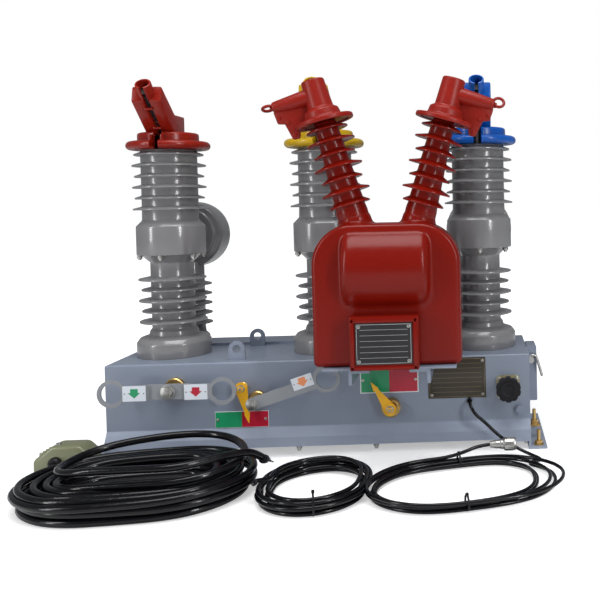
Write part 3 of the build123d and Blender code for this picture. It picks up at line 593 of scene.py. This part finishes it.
def terminal_cover(name, look):
    low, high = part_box(f"terminal_cover_{name}")
    seat = spot(middle(low, high), 0, low[2])
    cover = bmesh.new()
    sweep(cover, rim_ring, rim_opening, seat)
    sweep(cover, rim_web, rim_opening, seat)
    sweep(cover, hub_wall, hub_opening, seat)
    for start in (half_chute, -slit / 2):
        cheek = seat @ spot(start, 0, 0) @ cover_side
        prism(cover, chute, half_chute - slit / 2, cheek, chute_edge, segments=3)
    roof = seat @ spot(slit / 2 + 0.002, 0, -0.0005) @ cover_side
    prism(cover, chute_roof, slit + 0.004, roof, 0.001)
    # Painted shade: a dark strip lines the bottom of the slit.
    prism(cover, chute_painted_shade, slit + 0.002, seat @ spot(slit / 2 + 0.001, 0, 0) @ cover_side, 0.0, 1)
    mouth = seat @ spot(0, -mouth_forward, mouth_rise) @ turn(mouth_lean, "X")
    sweep(cover, rounded(mouth_wall, 0.0012, 2), mouth_opening, mouth, steps=40)
    # Painted shade: a dark disc closes the mouth a little way inside.
    lathe(cover, [(0, -0.006), (0.013, -0.006)], mouth, 1, 32)
    for forward, height in stud_places:
        stud = seat @ spot(-stud_long / 2, -forward, height) @ turn(90, "Y")
        pin(cover, stud_radius, 0, stud_long, stud, soft=0.0008)
    for side in (-1, 1):
        lug = seat @ spot(side * lug_apart - lug_wide / 2, -lug_forward, 0)
        brick(cover, (0, -0.006, 0.004), (lug_wide, 0.004, 0.030), 0.002, 0, lug)
    return piece(f"cover_{name}", cover, [look, painted_hollow_shade], gone=(f"terminal_cover_{name}",))


def silicone(name, colour):
    look = Look(name, colour, 0.3, coat=0.1)
    look.give("Specular IOR Level", 0.25)
    look.tint(look.noise(20, 3).above(0.55, 0.2) * 0.35, tuple(0.75 * part for part in colour))
    look.give("Roughness", look.noise(40) * 0.12 + 0.2)
    look.bumps(look.noise(120, 2), 0.0007)
    return look


cover_red = silicone("red silicone", (0.235, 0.010, 0.004))
cover_yellow = silicone("yellow silicone", (0.52, 0.33, 0.008))
cover_blue = silicone("blue silicone", (0.005, 0.078, 0.36))
terminal_cover("left", cover_red)
terminal_cover("centre", cover_yellow)
terminal_cover("right", cover_blue)

# Voltage transformer. Iron-red epoxy cast in a split mould round the winding; its
# body, the round bulge and the necks of the bushings are one casting.
vt_red = Look("red resin", (0.168, 0.0055, 0.002), 0.25, coat=0.06)
vt_red.tint(vt_red.noise(6, 3).above(0.55, 0.25) * 0.4, (0.156, 0.005, 0.002))
vt_red.give("Roughness", vt_red.noise(12) * 0.1 + 0.2)
vt_red.bumps(vt_red.noise(45, 2), 0.0006)
vt_red.give("Specular IOR Level", 0.18)
vt_low, vt_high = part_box("vt_body")
# The casting stands a little to the left of its CAD place, as the photograph shows.
vt_shift, bushing_shift = 0.004, 0.0005
vt_x, vt_y = middle(vt_low, vt_high) - vt_shift, middle(vt_low, vt_high, 1)
vt_half, vt_tall = (vt_high[0] - vt_low[0]) / 2, vt_high[2] - vt_low[2]
shoulder, slab = 0.080, 0.100
bulge_radius, bulge_long, bulge_rise = 0.087, 0.166, 0.1885
bushing_spread, lean = 0.062, 15.3


def bushing_frame(side):
    """The frame at the root of a bushing, whose Z runs up its axis and X outwards."""
    root = spot(vt_x - bushing_shift + side * bushing_spread, vt_y, vt_high[2])
    return root @ turn(side * lean, "Y") @ turn(0 if side > 0 else 180, "Z")


flat, rise = vt_half - shoulder, vt_tall - shoulder
quarter = [math.pi / 2 * k / 16 for k in range(17)]
arch = [(-vt_half, 0), (vt_half, 0)]
arch += [(flat + shoulder * math.cos(a), rise + shoulder * math.sin(a)) for a in quarter]
arch += [(-flat - shoulder * math.sin(a), rise + shoulder * math.cos(a)) for a in quarter]
casting = bmesh.new()
prism(casting, arch, slab, spot(vt_x, vt_y + slab / 2, vt_low[2]) @ facing, 0.009, segments=4)
bulge = [(0, 0), (bulge_radius, 0), (bulge_radius, bulge_long), (0, bulge_long)]
bulge_place = spot(vt_x - bulge_long / 2, vt_y, vt_low[2] + bulge_rise) @ turn(90, "Y")
lathe(casting, rounded(bulge, 0.018, 5), bulge_place, steps=96)
neck = [(0, -0.05), (0.036, -0.05), (0.0335, 0.006), (0.0315, 0.016), (0, 0.016)]
for side in (-1, 1):
    lathe(casting, neck, bushing_frame(side), steps=48)
body_piece = piece("vt_casting", casting, [vt_red], gone=("vt_body",))
skin = body_piece.modifiers.new("skin", "REMESH")
skin.mode = "VOXEL"
skin.voxel_size = 0.0027
skin.use_smooth_shade = True
soften = body_piece.modifiers.new("soften", "SMOOTH")
soften.factor = 0.5
soften.iterations = 22

# Bushings and caps. The sheds are cast with the resin neck; each cap is a moulded
# rubber boot with a side spout, a clipped fin and a pull loop.
cap_red = silicone("cap silicone", (0.235, 0.010, 0.005))
cap_red.give("Coat Weight", 0.0)
cap_red.give("Roughness", cap_red.noise(40) * 0.12 + 0.3)
root_radius, top_radius, bushing_long = 0.031, 0.022, 0.206


def core_radius(height):
    return root_radius - (root_radius - top_radius) * height / bushing_long


def dome(radius, draft, rim, crown, foot=0.0):
    """Half outline of a low round head."""
    return [(0, foot), (radius, foot), (radius - draft, rim), (0, crown)]


bushing_line = [(0, -0.012), (root_radius, -0.012), (root_radius, 0.024)]
bushing_line += sheds(
    first=0.037, pitch=0.0255, count=7, core=core_radius, tips=(0.041, 0.048), root=0.010, tip=0.0026,
)
bushing_line += [(top_radius, bushing_long), (0, bushing_long)]
cap_line = [(0.047, 0.207), (0.047, 0.205), (0.057, 0.203), (0.057, 0.213), (0.050, 0.2135)]
cap_line += [(0.036, 0.216), (0.0335, 0.231), (0.0255, 0.235), (0.0225, 0.292), (0, 0.294)]
fin_gauge = 0.009
fin_studs = ((0.083, 0.238), (0.068, 0.226), (0.0615, 0.198))
stud_line = rounded(dome(radius=0.0042, draft=0.0004, rim=0.0022, crown=0.0026, foot=-0.001), 0.0008, 2)
fin = [(0.020, 0.210), (0.050, 0.203), (0.055, 0.190), (0.068, 0.191)]
fin += [(0.075, 0.224), (0.088, 0.228), (0.090, 0.252), (0.020, 0.262)]
spout_height = 0.261
spout_line = [(0, 0.005), (0.019, 0.005), (0.0115, 0.086), (0.0095, 0.089), (0, 0.089)]
nib_line = [(0, 0.088), (0.006, 0.088), (0.005, 0.094), (0, 0.094)]
loop_radius, loop_gauge = 0.0105, 0.003
ring = [(loop_radius + x, z) for x, z in circle(loop_gauge, 0, 0, 12)]
ring.append(ring[0])
for name, side, loop_x, loop_rise, loop_lean in (
    ("left", -1, 0.098, 0.002, 18), ("right", 1, 0.0965, 0.007, 60),
):
    root = bushing_frame(side)
    column = bmesh.new()
    lathe(column, rounded(bushing_line, 0.0014, 2), root, steps=72)
    piece(f"bushing_{name}", column, [vt_red], gone=(f"vt_bushing_{name}",))
    cap = bmesh.new()
    lathe(cap, rounded(cap_line, 0.0035, 4), root, steps=72)
    lathe(cap, [(0, 0.207), (0.047, 0.207)], root, steps=48)
    spout = root @ spot(0, 0, spout_height) @ turn(90, "Y")
    lathe(cap, rounded(spout_line, 0.0015, 2), spout, steps=40)
    lathe(cap, rounded(nib_line, 0.001, 2), spout, steps=24)
    prism(cap, fin, fin_gauge, root @ spot(0, fin_gauge / 2, 0) @ facing, 0.0015)
    for along, height in fin_studs:
        for face in (-1, 1):
            stud = root @ spot(along, face * fin_gauge / 2, height) @ turn(-90 * face, "X")
            lathe(cap, stud_line, stud, steps=20)
    loop = root @ spot(loop_x, 0, spout_height + loop_rise) @ turn(loop_lean, "X")
    lathe(cap, ring, loop, steps=32)
    piece(f"cap_{name}", cap, [cap_red], gone=(f"vt_cap_{name}",))

# Terminal box of the voltage transformer. A frame cast on the body with a printed
# aluminium plate, held by four cross-head screws.
# The box and its plate stand further to the left still.
box_shift = Vector((-0.006, 0, 0))
box_low, box_high = (Vector(corner) + box_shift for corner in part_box("vt_terminal_box"))
plate_low, plate_high = (Vector(corner) + box_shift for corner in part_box("vt_nameplate"))
plate_black = Look("black plate", (0.006, 0.006, 0.008), 0.55)
print_white = Look("plate printing", (0.42, 0.42, 0.42), 0.5)
frame_box = bmesh.new()
brick(frame_box, box_low, box_high, 0.003)
edge, lip, root, inset = 0.0065, 0.0028, 0.002, 0.003
left, right = box_low[0] + inset, box_high[0] - inset
bottom, top = box_low[2] + 0.002, plate_high[2] + 0.001 + edge
for x0, x1, z0, z1 in (
    (left, right, top - edge, top), (left, right, bottom, bottom + edge),
    (left, left + edge, bottom, top), (right - edge, right, bottom, top),
):
    brick(frame_box, (x0, box_low[1] - lip, z0), (x1, box_low[1] + root, z1), 0.0012)
piece("vt_box_frame", frame_box, [vt_red], gone=("vt_terminal_box",))


slot_long, slot_wide, slot_foot, slot_top = 0.002, 0.0003, 0.0011, 0.00175
screw_line = rounded(dome(radius=0.0032, draft=0.0002, rim=0.001, crown=0.0016), 0.0004, 2)


def printed_plate(name, low, high, looks, rules, margin, gone):
    """A thin plate with a printed border, ruled lines and a fixing at each corner."""
    front = low[1]
    plate = bmesh.new()
    brick(plate, low, high, 0.0004)
    left, right, bottom, top = low[0] + margin, high[0] - margin, low[2] + margin, high[2] - margin
    thin, screw_inset, rule_inset, ink = 0.0007, 0.0045, 0.006, 0.00015
    lines = [(left, right, bottom, bottom + thin), (left, right, top - thin, top)]
    lines += [(left, left + thin, bottom, top), (right - thin, right, bottom, top)]
    for k in range(rules):
        height = bottom + (top - bottom) * (k + 1) / (rules + 1)
        lines.append((left + rule_inset, right - rule_inset, height, height + thin * 0.7))
    for x0, x1, z0, z1 in lines:
        brick(plate, (x0, front - ink, z0), (x1, front + 0.0005, z1), 0, 1)
    for x in (left + screw_inset, right - screw_inset):
        for z in (bottom + screw_inset, top - screw_inset):
            screw = spot(x, front, z) @ facing
            lathe(plate, screw_line, screw, 2, 20)
            for wide, tall in ((slot_long, slot_wide), (slot_wide, slot_long)):
                brick(plate, (-wide, -tall, slot_foot), (wide, tall, slot_top), 0, 0, screw)
    piece(name, plate, looks, gone=gone)


printed_plate(
    "vt_plate", plate_low, plate_high, [plate_black, print_white, zinc], rules=6, margin=0.002,
    gone=("vt_nameplate",),
)

# Levers. Laser-cut steel bars with hook rings, painted grey. A plated nut holds
# each on its shaft, and a sticker with an arrow shows its pull.
lever_paint = Look("lever paint", (0.225, 0.238, 0.258), 0.42)
lever_paint.give("Roughness", lever_paint.noise(60) * 0.2 + 0.32)
lever_paint.bumps(lever_paint.noise(300, 2), 0.0004)
dress(lever_paint, "operating_lever", "charge_lever")
sticker_white = Look("sticker film", (0.62, 0.66, 0.72), 0.35)
sticker_green = Look("green film", (0.01, 0.27, 0.11), 0.35)
sticker_red = Look("red film", (0.42, 0.008, 0.03), 0.35)
sticker_orange = Look("orange film", (0.74, 0.26, 0.10), 0.35)
barb, stem_half, arrow_half, barb_z = 0.0125, 0.0075, 0.0095, 0.0015
film, ink, rivet_inset = 0.0004, 0.0002, 0.004
rivet_line = dome(radius=0.0012, draft=0.0002, rim=0.0012, crown=0.0014, foot=film)
arrow = [(0, -arrow_half), (barb, barb_z), (stem_half, barb_z), (stem_half, arrow_half)]
arrow += [(-stem_half, arrow_half), (-stem_half, barb_z), (-barb, barb_z)]


def sticker(name, place, width, height, colour, body):
    label = bmesh.new()
    brick(label, (-width / 2, -height / 2, 0), (width / 2, height / 2, film), 0, 0, place)
    prism(label, arrow, ink, place @ spot(0, 0, film), 0, 1)
    for side in (-1, 1):
        rivet = place @ spot(side * (width / 2 - rivet_inset), 0, 0)
        lathe(label, rivet_line, rivet, 2, 14)
    piece(name, label, [sticker_white, colour, plate_black], body=body)


lever_low, lever_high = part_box("operating_lever")
hub_x, hub_z = middle(lever_low, lever_high), middle(lever_low, lever_high, 2)
lever_front, charge_slope = -0.170, 17.5
sticker_wide, sticker_tall, charge_wide, charge_tall = 0.046, 0.031, 0.043, 0.025
for name, x, colour in (("left", -0.3605, sticker_green), ("right", -0.2386, sticker_red)):
    place = spot(x, lever_front, hub_z) @ facing
    sticker(f"pull_sticker_{name}", place, sticker_wide, sticker_tall, colour, "operating_lever_body")
charge_place = spot(-0.0253, lever_front, 0.1653) @ turn(-charge_slope, "Y") @ facing
sticker("pull_sticker_charge", charge_place, charge_wide, charge_tall, sticker_orange, "charge_lever_body")


def lever_nut(name, body, at, radius, depth):
    """Washer, nut and the end of the shaft, over the plain nut of the CAD lever."""
    nut = bmesh.new()
    place = spot(*at) @ facing
    washer, proud, shaft_end = 0.0016, 0.0004, 0.003
    pin(nut, radius * 1.25, 0, washer, place, steps=32, soft=0.0004)
    hexagon(nut, radius + proud, depth + proud, place)
    pin(nut, radius * 0.5, depth, depth + shaft_end, place, steps=24, soft=0.0008)
    piece(name, nut, [zinc], body=body)


lever_nut("operating_nut", "operating_lever_body", at=(hub_x, -0.163, hub_z), radius=0.012, depth=0.009)
lever_nut("charge_nut", "charge_lever_body", at=(-0.128, -0.170, 0.1225), radius=0.010, depth=0.009)

# Bosses and pointers. Brass bearing bosses screwed into the wall; the pointers
# are punched from steel sheet and powder coated yellow.
brass = Look("yellow passivated brass", (0.62, 0.42, 0.16), 0.3, metal=1.0)
brass.give("Roughness", brass.noise(80) * 0.3 + 0.2)
pointer_yellow = Look("yellow powder coat", (0.77, 0.40, 0.008), 0.4)
pointer_yellow.bumps(pointer_yellow.noise(300, 2), 0.0004)
dress(brass, "operating_boss", "charge_boss", "charge_pointer_boss", "position_pointer_boss")
dress(pointer_yellow, "charge_pointer", "position_pointer")
nut_radius, nut_depth = 0.0065, 0.006
lever_nut("charge_pointer_nut", "charge_pointer_body", (-0.158, -0.139, 0.148), nut_radius, nut_depth)
lever_nut("position_pointer_nut", "position_pointer_body", (0.147, -0.143, 0.096), nut_radius, nut_depth)

# Signs. Printed aluminium sheet, riveted to the wall: two bare indicator signs in
# two colours, and the dark rating plate with plain ruled lines.
sign_white = Look("sign border", (0.66, 0.68, 0.70), 0.35)
sign_rivet = rounded(dome(radius=0.0032, draft=0.0002, rim=0.0012, crown=0.0018), 0.0004, 2)
sign_rivet_inset = 0.006


def two_colour_sign(name, node, border):
    low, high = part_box(node)
    sign = bmesh.new()
    brick(sign, low, high, 0.0004)
    split = middle(low, high)
    for x0, x1, index in ((low[0] + border, split, 1), (split, high[0] - border, 2)):
        brick(sign, (x0, low[1] - 0.0002, low[2] + border), (x1, low[1] + 0.0004, high[2] - border), 0, index)
    for x in (low[0] + sign_rivet_inset, high[0] - sign_rivet_inset):
        rivet = spot(x, low[1], middle(low, high, 2)) @ facing
        lathe(sign, sign_rivet, rivet, 3, 20)
    piece(name, sign, [sign_white, sticker_green, sticker_red, zinc], gone=(node,))


two_colour_sign("charge_plate", "charge_sign", border=0.0008)
two_colour_sign("position_plate", "position_sign", border=0.0022)
rating_brown = Look("rating plate", (0.026, 0.020, 0.011), 0.3, coat=0.05)
rating_lines = Look("rating printing", (0.20, 0.15, 0.07), 0.45)
rating_low, rating_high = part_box("nameplate")
printed_plate(
    "rating_plate", rating_low, rating_high, [rating_brown, rating_lines, zinc], rules=7, margin=0.0025,
    gone=("nameplate",),
)

# Socket, plug and end-wall fittings. The control socket is passivated die-cast
# alloy under a black nylon cap; the earth bolts are brass.
passivated = Look("passivated alloy", (0.52, 0.47, 0.30), 0.38, metal=0.8)
nylon_black = Look("black nylon", (0.006, 0.006, 0.008), 0.38)
nylon_black.give("Specular IOR Level", 0.25)
nylon_black.bumps(nylon_black.noise(260, 2), 0.0005)
dress(passivated, "control_socket")
dress(nylon_black, "socket_cap", "cable_gland")
dress(tank_paint, "wall_plug")
dress(zinc, "side_latch")
dress(brass, "earth_stud_upper", "earth_stud_lower")
flange_front, corner_inset = -0.1235, 0.006
flange_screw = rounded(dome(radius=0.0035, draft=0.0002, rim=0.0022, crown=0.003), 0.0006, 2)
socket_low, socket_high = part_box("control_socket")
flange = bmesh.new()
for x in (socket_low[0] + corner_inset, socket_high[0] - corner_inset):
    for z in (socket_low[2] + corner_inset, socket_high[2] - corner_inset):
        screw = spot(x, flange_front, z) @ facing
        lathe(flange, flange_screw, screw, 0, 20)
piece("socket_screws", flange, [zinc])
cap_low, cap_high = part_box("socket_cap")
disc = bmesh.new()
cap_face = spot(middle(cap_low, cap_high), cap_low[1], middle(cap_low, cap_high, 2)) @ facing
face_line = [(0.012, -0.0015), (0.0185, -0.0015), (0.0185, 0.0018)]
face_line += [(0.012, 0.0018), (0.011, 0.0004), (0, 0.0004)]
lathe(disc, rounded(face_line, 0.0007, 2), cap_face, steps=48)
piece("socket_cap_face", disc, [nylon_black])

# Ends of the cables. An olive die-cast connector hood, a turned plug with its
# coupling ring, bare lugged cores and black nylon ties.
olive = Look("olive enamel", (0.165, 0.175, 0.095), 0.34, coat=0.2)
olive.tint(olive.noise(25, 4).above(0.6, 0.15) * 0.4, (0.12, 0.13, 0.07))
olive.bumps(olive.noise(200, 2), 0.0006)
hood_low, hood_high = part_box("control_hood")
hood_x, hood_y = hood_low[0], hood_low[1]
hood_long, hood_wide, hood_tall = hood_high[0] - hood_x, hood_high[1] - hood_y, hood_high[2]
hood_side = [(0, 0), (hood_long, 0), (hood_long, 0.034), (hood_long - 0.022, hood_tall)]
hood_side += [(0.036, hood_tall), (0, 0.026)]
rib_count, rib_pitch, rib_wide, rib_tall = 4, 0.012, 0.005, 0.042
hood = bmesh.new()
prism(hood, hood_side, hood_wide, spot(hood_x, hood_high[1], 0) @ facing, 0.007, segments=4)
for k in range(rib_count):
    rib_y = hood_y + 0.004 + rib_pitch * k
    brick(hood, (hood_x + 0.012, rib_y, 0.004), (hood_x + 0.030, rib_y + rib_wide, rib_tall), 0.002)
hood_screw = spot(hood_x + 0.044, -0.170, hood_tall - 0.0005)
lathe(hood, rounded(dome(radius=0.005, draft=0, rim=0.003, crown=0.0045), 0.001, 2), hood_screw, 1, 20)
collar = [(0, 0), (0.0125, 0), (0.0125, 0.009), (0.0095, 0.014), (0, 0.014)]
lathe(hood, rounded(collar, 0.0015, 3), spot(-0.510, -0.186, 0.022) @ facing, 2, 28)
hood_looks = [olive, zinc, nylon_black]
hood_piece = piece("connector_hood", hood, hood_looks, gone=("control_hood",))


def tie(name, coil, share, tall):
    """A nylon cable tie pulled round all the turns of a coil."""
    spine, outwards = oval(coil, share)
    wide = coil["length"] + coil["gap"] + coil["diameter"]
    centre = spine + outwards * (coil["radius"] - wide / 2 + 0.001)
    centre.y *= 1 - coil["pinch"] * (centre.x / (coil["half"] + coil["radius"])) ** 2
    across = Matrix.Rotation(math.atan2(outwards.y, outwards.x), 4, "Z") @ turn(90, "X")
    place = spot(coil["x"], coil["y"], 0) @ turn(coil["turn"], "Z") @ Matrix.Translation(centre)
    place = place @ spot(0, 0, tall / 2 + 0.0026) @ across
    squeeze = Matrix.Diagonal((wide / 2 + 0.0008, tall / 2 + 0.0008, 1, 1))
    band = bmesh.new()
    inner, outer, edge = 1.0, 1.09, 0.0018
    strap = [(inner, -edge), (outer, -edge), (outer, edge), (inner, edge), (inner, -edge)]
    lathe(band, strap, place @ squeeze, 0, 32)
    brick(band, (-0.003, tall / 2, -0.0026), (0.003, tall / 2 + 0.0045, 0.0026), 0.0006, 0, place)
    brick(band, (0.0, tall / 2 + 0.0015, -0.0012), (0.009, tall / 2 + 0.0026, 0.0012), 0.0, 0, place)
    return piece(name, band, [nylon_black])


core_count, jacket_radius, wire_radius, jacket_end, wire_end = 4, 0.0019, 0.0014, 0.020, 0.029
core_end = Matrix.Translation(control_points[-1])
lug_ends = bmesh.new()
boot = [(0, -0.012), (0.0082, -0.012), (0.0082, 0.006), (0.006, 0.009), (0, 0.009)]
lathe(lug_ends, rounded(boot, 0.001, 2), core_end @ turn(-108, "X"), 0, 24)
for k in range(core_count):
    fan = k - (core_count - 1) / 2
    way = core_end @ turn(14 * fan, "Z") @ turn(-104 + 9 * fan, "X")
    pin(lug_ends, jacket_radius, 0, jacket_end, way, 2 if k == 1 else 0, 12)
    pin(lug_ends, wire_radius, jacket_end, wire_end, way, 1, 12)
core_piece = piece("control_cable_cores", lug_ends, [nylon_black, tinned, cover_red])

sensing_tip = Matrix.Translation(sensing_points[-1])
sensing_end = bmesh.new()
pin(sensing_end, 0.0048, -0.010, 0.004, sensing_tip @ turn(80, "X"), 0, 20, soft=0.001)
pin(sensing_end, 0.0014, 0, 0.014, sensing_tip @ turn(84, "X"), 1, 12)
sensing_piece = piece("sensing_lead_end", sensing_end, [nylon_black, tinned])
sensing_tie = tie("sensing_lead_tie", sensing, 0.53, 0.037)

plug_low, plug_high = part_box("signal_plug")
plug_place = spot(plug_low[0], middle(plug_low, plug_high, 1), middle(plug_low, plug_high, 2)) @ turn(90, "Y")
plug_line = [(0, 0), (0.0062, 0), (0.0070, 0.006), (0.0085, 0.012), (0.0085, 0.020)]
plug_line += [(0.0098, 0.021), (0.0098, 0.026), (0.0118, 0.028), (0.0130, 0.029), (0.0130, 0.048)]
plug_line += [(0.0118, 0.052), (0.0105, 0.052), (0.0105, 0.036), (0, 0.036)]
grip_count, contact_count, contact_circle, contact_radius = 12, 5, 0.006, 0.001
plug = bmesh.new()
lathe(plug, rounded(plug_line, 0.0006, 2), plug_place, 0, 40)
for k in range(grip_count):
    grip = plug_place @ turn(360 / grip_count * k, "Z")
    brick(plug, (0.0125, -0.0011, 0.031), (0.0137, 0.0011, 0.046), 0.0004, 0, grip)
for x, y in circle(contact_circle, 0, 0, contact_count):
    pin(plug, contact_radius, 0.036, 0.048, plug_place @ spot(x, y, 0), 1, 10)
plug_piece = piece("lead_plug", plug, [zinc, brass], gone=("signal_plug",))
front_tie = tie("signal_lead_tie_front", signal, 0.72, 0.024)
back_tie = tie("signal_lead_tie_back", signal, 0.24, 0.024)

# Light and floor. A soft box hangs overhead and two stand in front, at the sides;
# the floor is pale and keeps the object's shadow.
world = bpy.data.worlds.new("studio")
bpy.context.scene.world = world
world.use_nodes = True
studio = Shades(world.node_tree)
room = world.node_tree.nodes["Background"]
studio.feed(room.inputs["Color"], (0.80, 0.82, 0.86, 1))
studio.feed(room.inputs["Strength"], 0.27)
seen = studio.node("ShaderNodeLightPath", {}, {}, "Is Camera Ray")
white = studio.node("ShaderNodeBackground", {}, {"Color": (1, 1, 1, 1), "Strength": 1.0})
joined = studio.node("ShaderNodeMixShader", {}, {0: seen, 1: Wire(studio, room.outputs[0]), 2: white})
studio.feed(world.node_tree.nodes["World Output"].inputs["Surface"], joined)


def soft_box(name, place, aim, width, height, power):
    lamp = bpy.data.lights.new(name, "AREA")
    lamp.shape = "RECTANGLE"
    lamp.size, lamp.size_y, lamp.energy = width, height, power
    holder = bpy.data.objects.new(name, lamp)
    way = (Vector(aim) - Vector(place)).to_track_quat("-Z", "Y")
    holder.matrix_world = Matrix.Translation(place) @ way.to_matrix().to_4x4()
    bpy.context.scene.collection.objects.link(holder)


soft_box("overhead", (0.1, -0.9, 3.0), (0, 0, 0.2), width=2.4, height=1.6, power=72)
soft_box("left", (-2.6, -2.0, 1.3), (0, 0, 0.4), width=0.35, height=2.4, power=44)
soft_box("right", (2.4, -2.4, 1.5), (0, 0, 0.4), width=0.3, height=2.2, power=52)

floor_look = Look("pale floor", (0.86, 0.86, 0.86), 0.7)
glow = floor_look.node("ShaderNodeLightPath", {}, {}, "Is Camera Ray")
sockets = {"Vector": floor_look.place()}
distance = floor_look.node("ShaderNodeVectorMath", {"operation": "LENGTH"}, sockets, "Value")
floor_look.give("Emission Color", (1, 1, 1, 1))
floor_look.give("Emission Strength", glow * (distance.above(1.2, 0.7) * 0.5 + 0.42))
floor_size, floor_drop = 30, 0.0005
ground = bmesh.new()
bmesh.ops.create_grid(ground, x_segments=1, y_segments=1, size=floor_size)
bmesh.ops.translate(ground, vec=(0, 0, -floor_drop), verts=ground.verts)
floor_mesh = bpy.data.meshes.new("floor")
ground.to_mesh(floor_mesh)
ground.free()
floor_mesh.materials.append(floor_look.material)
floor = bpy.data.objects.new("floor", floor_mesh)
bpy.context.scene.collection.objects.link(floor)

bpy.context.scene.view_settings.view_transform = "Standard"
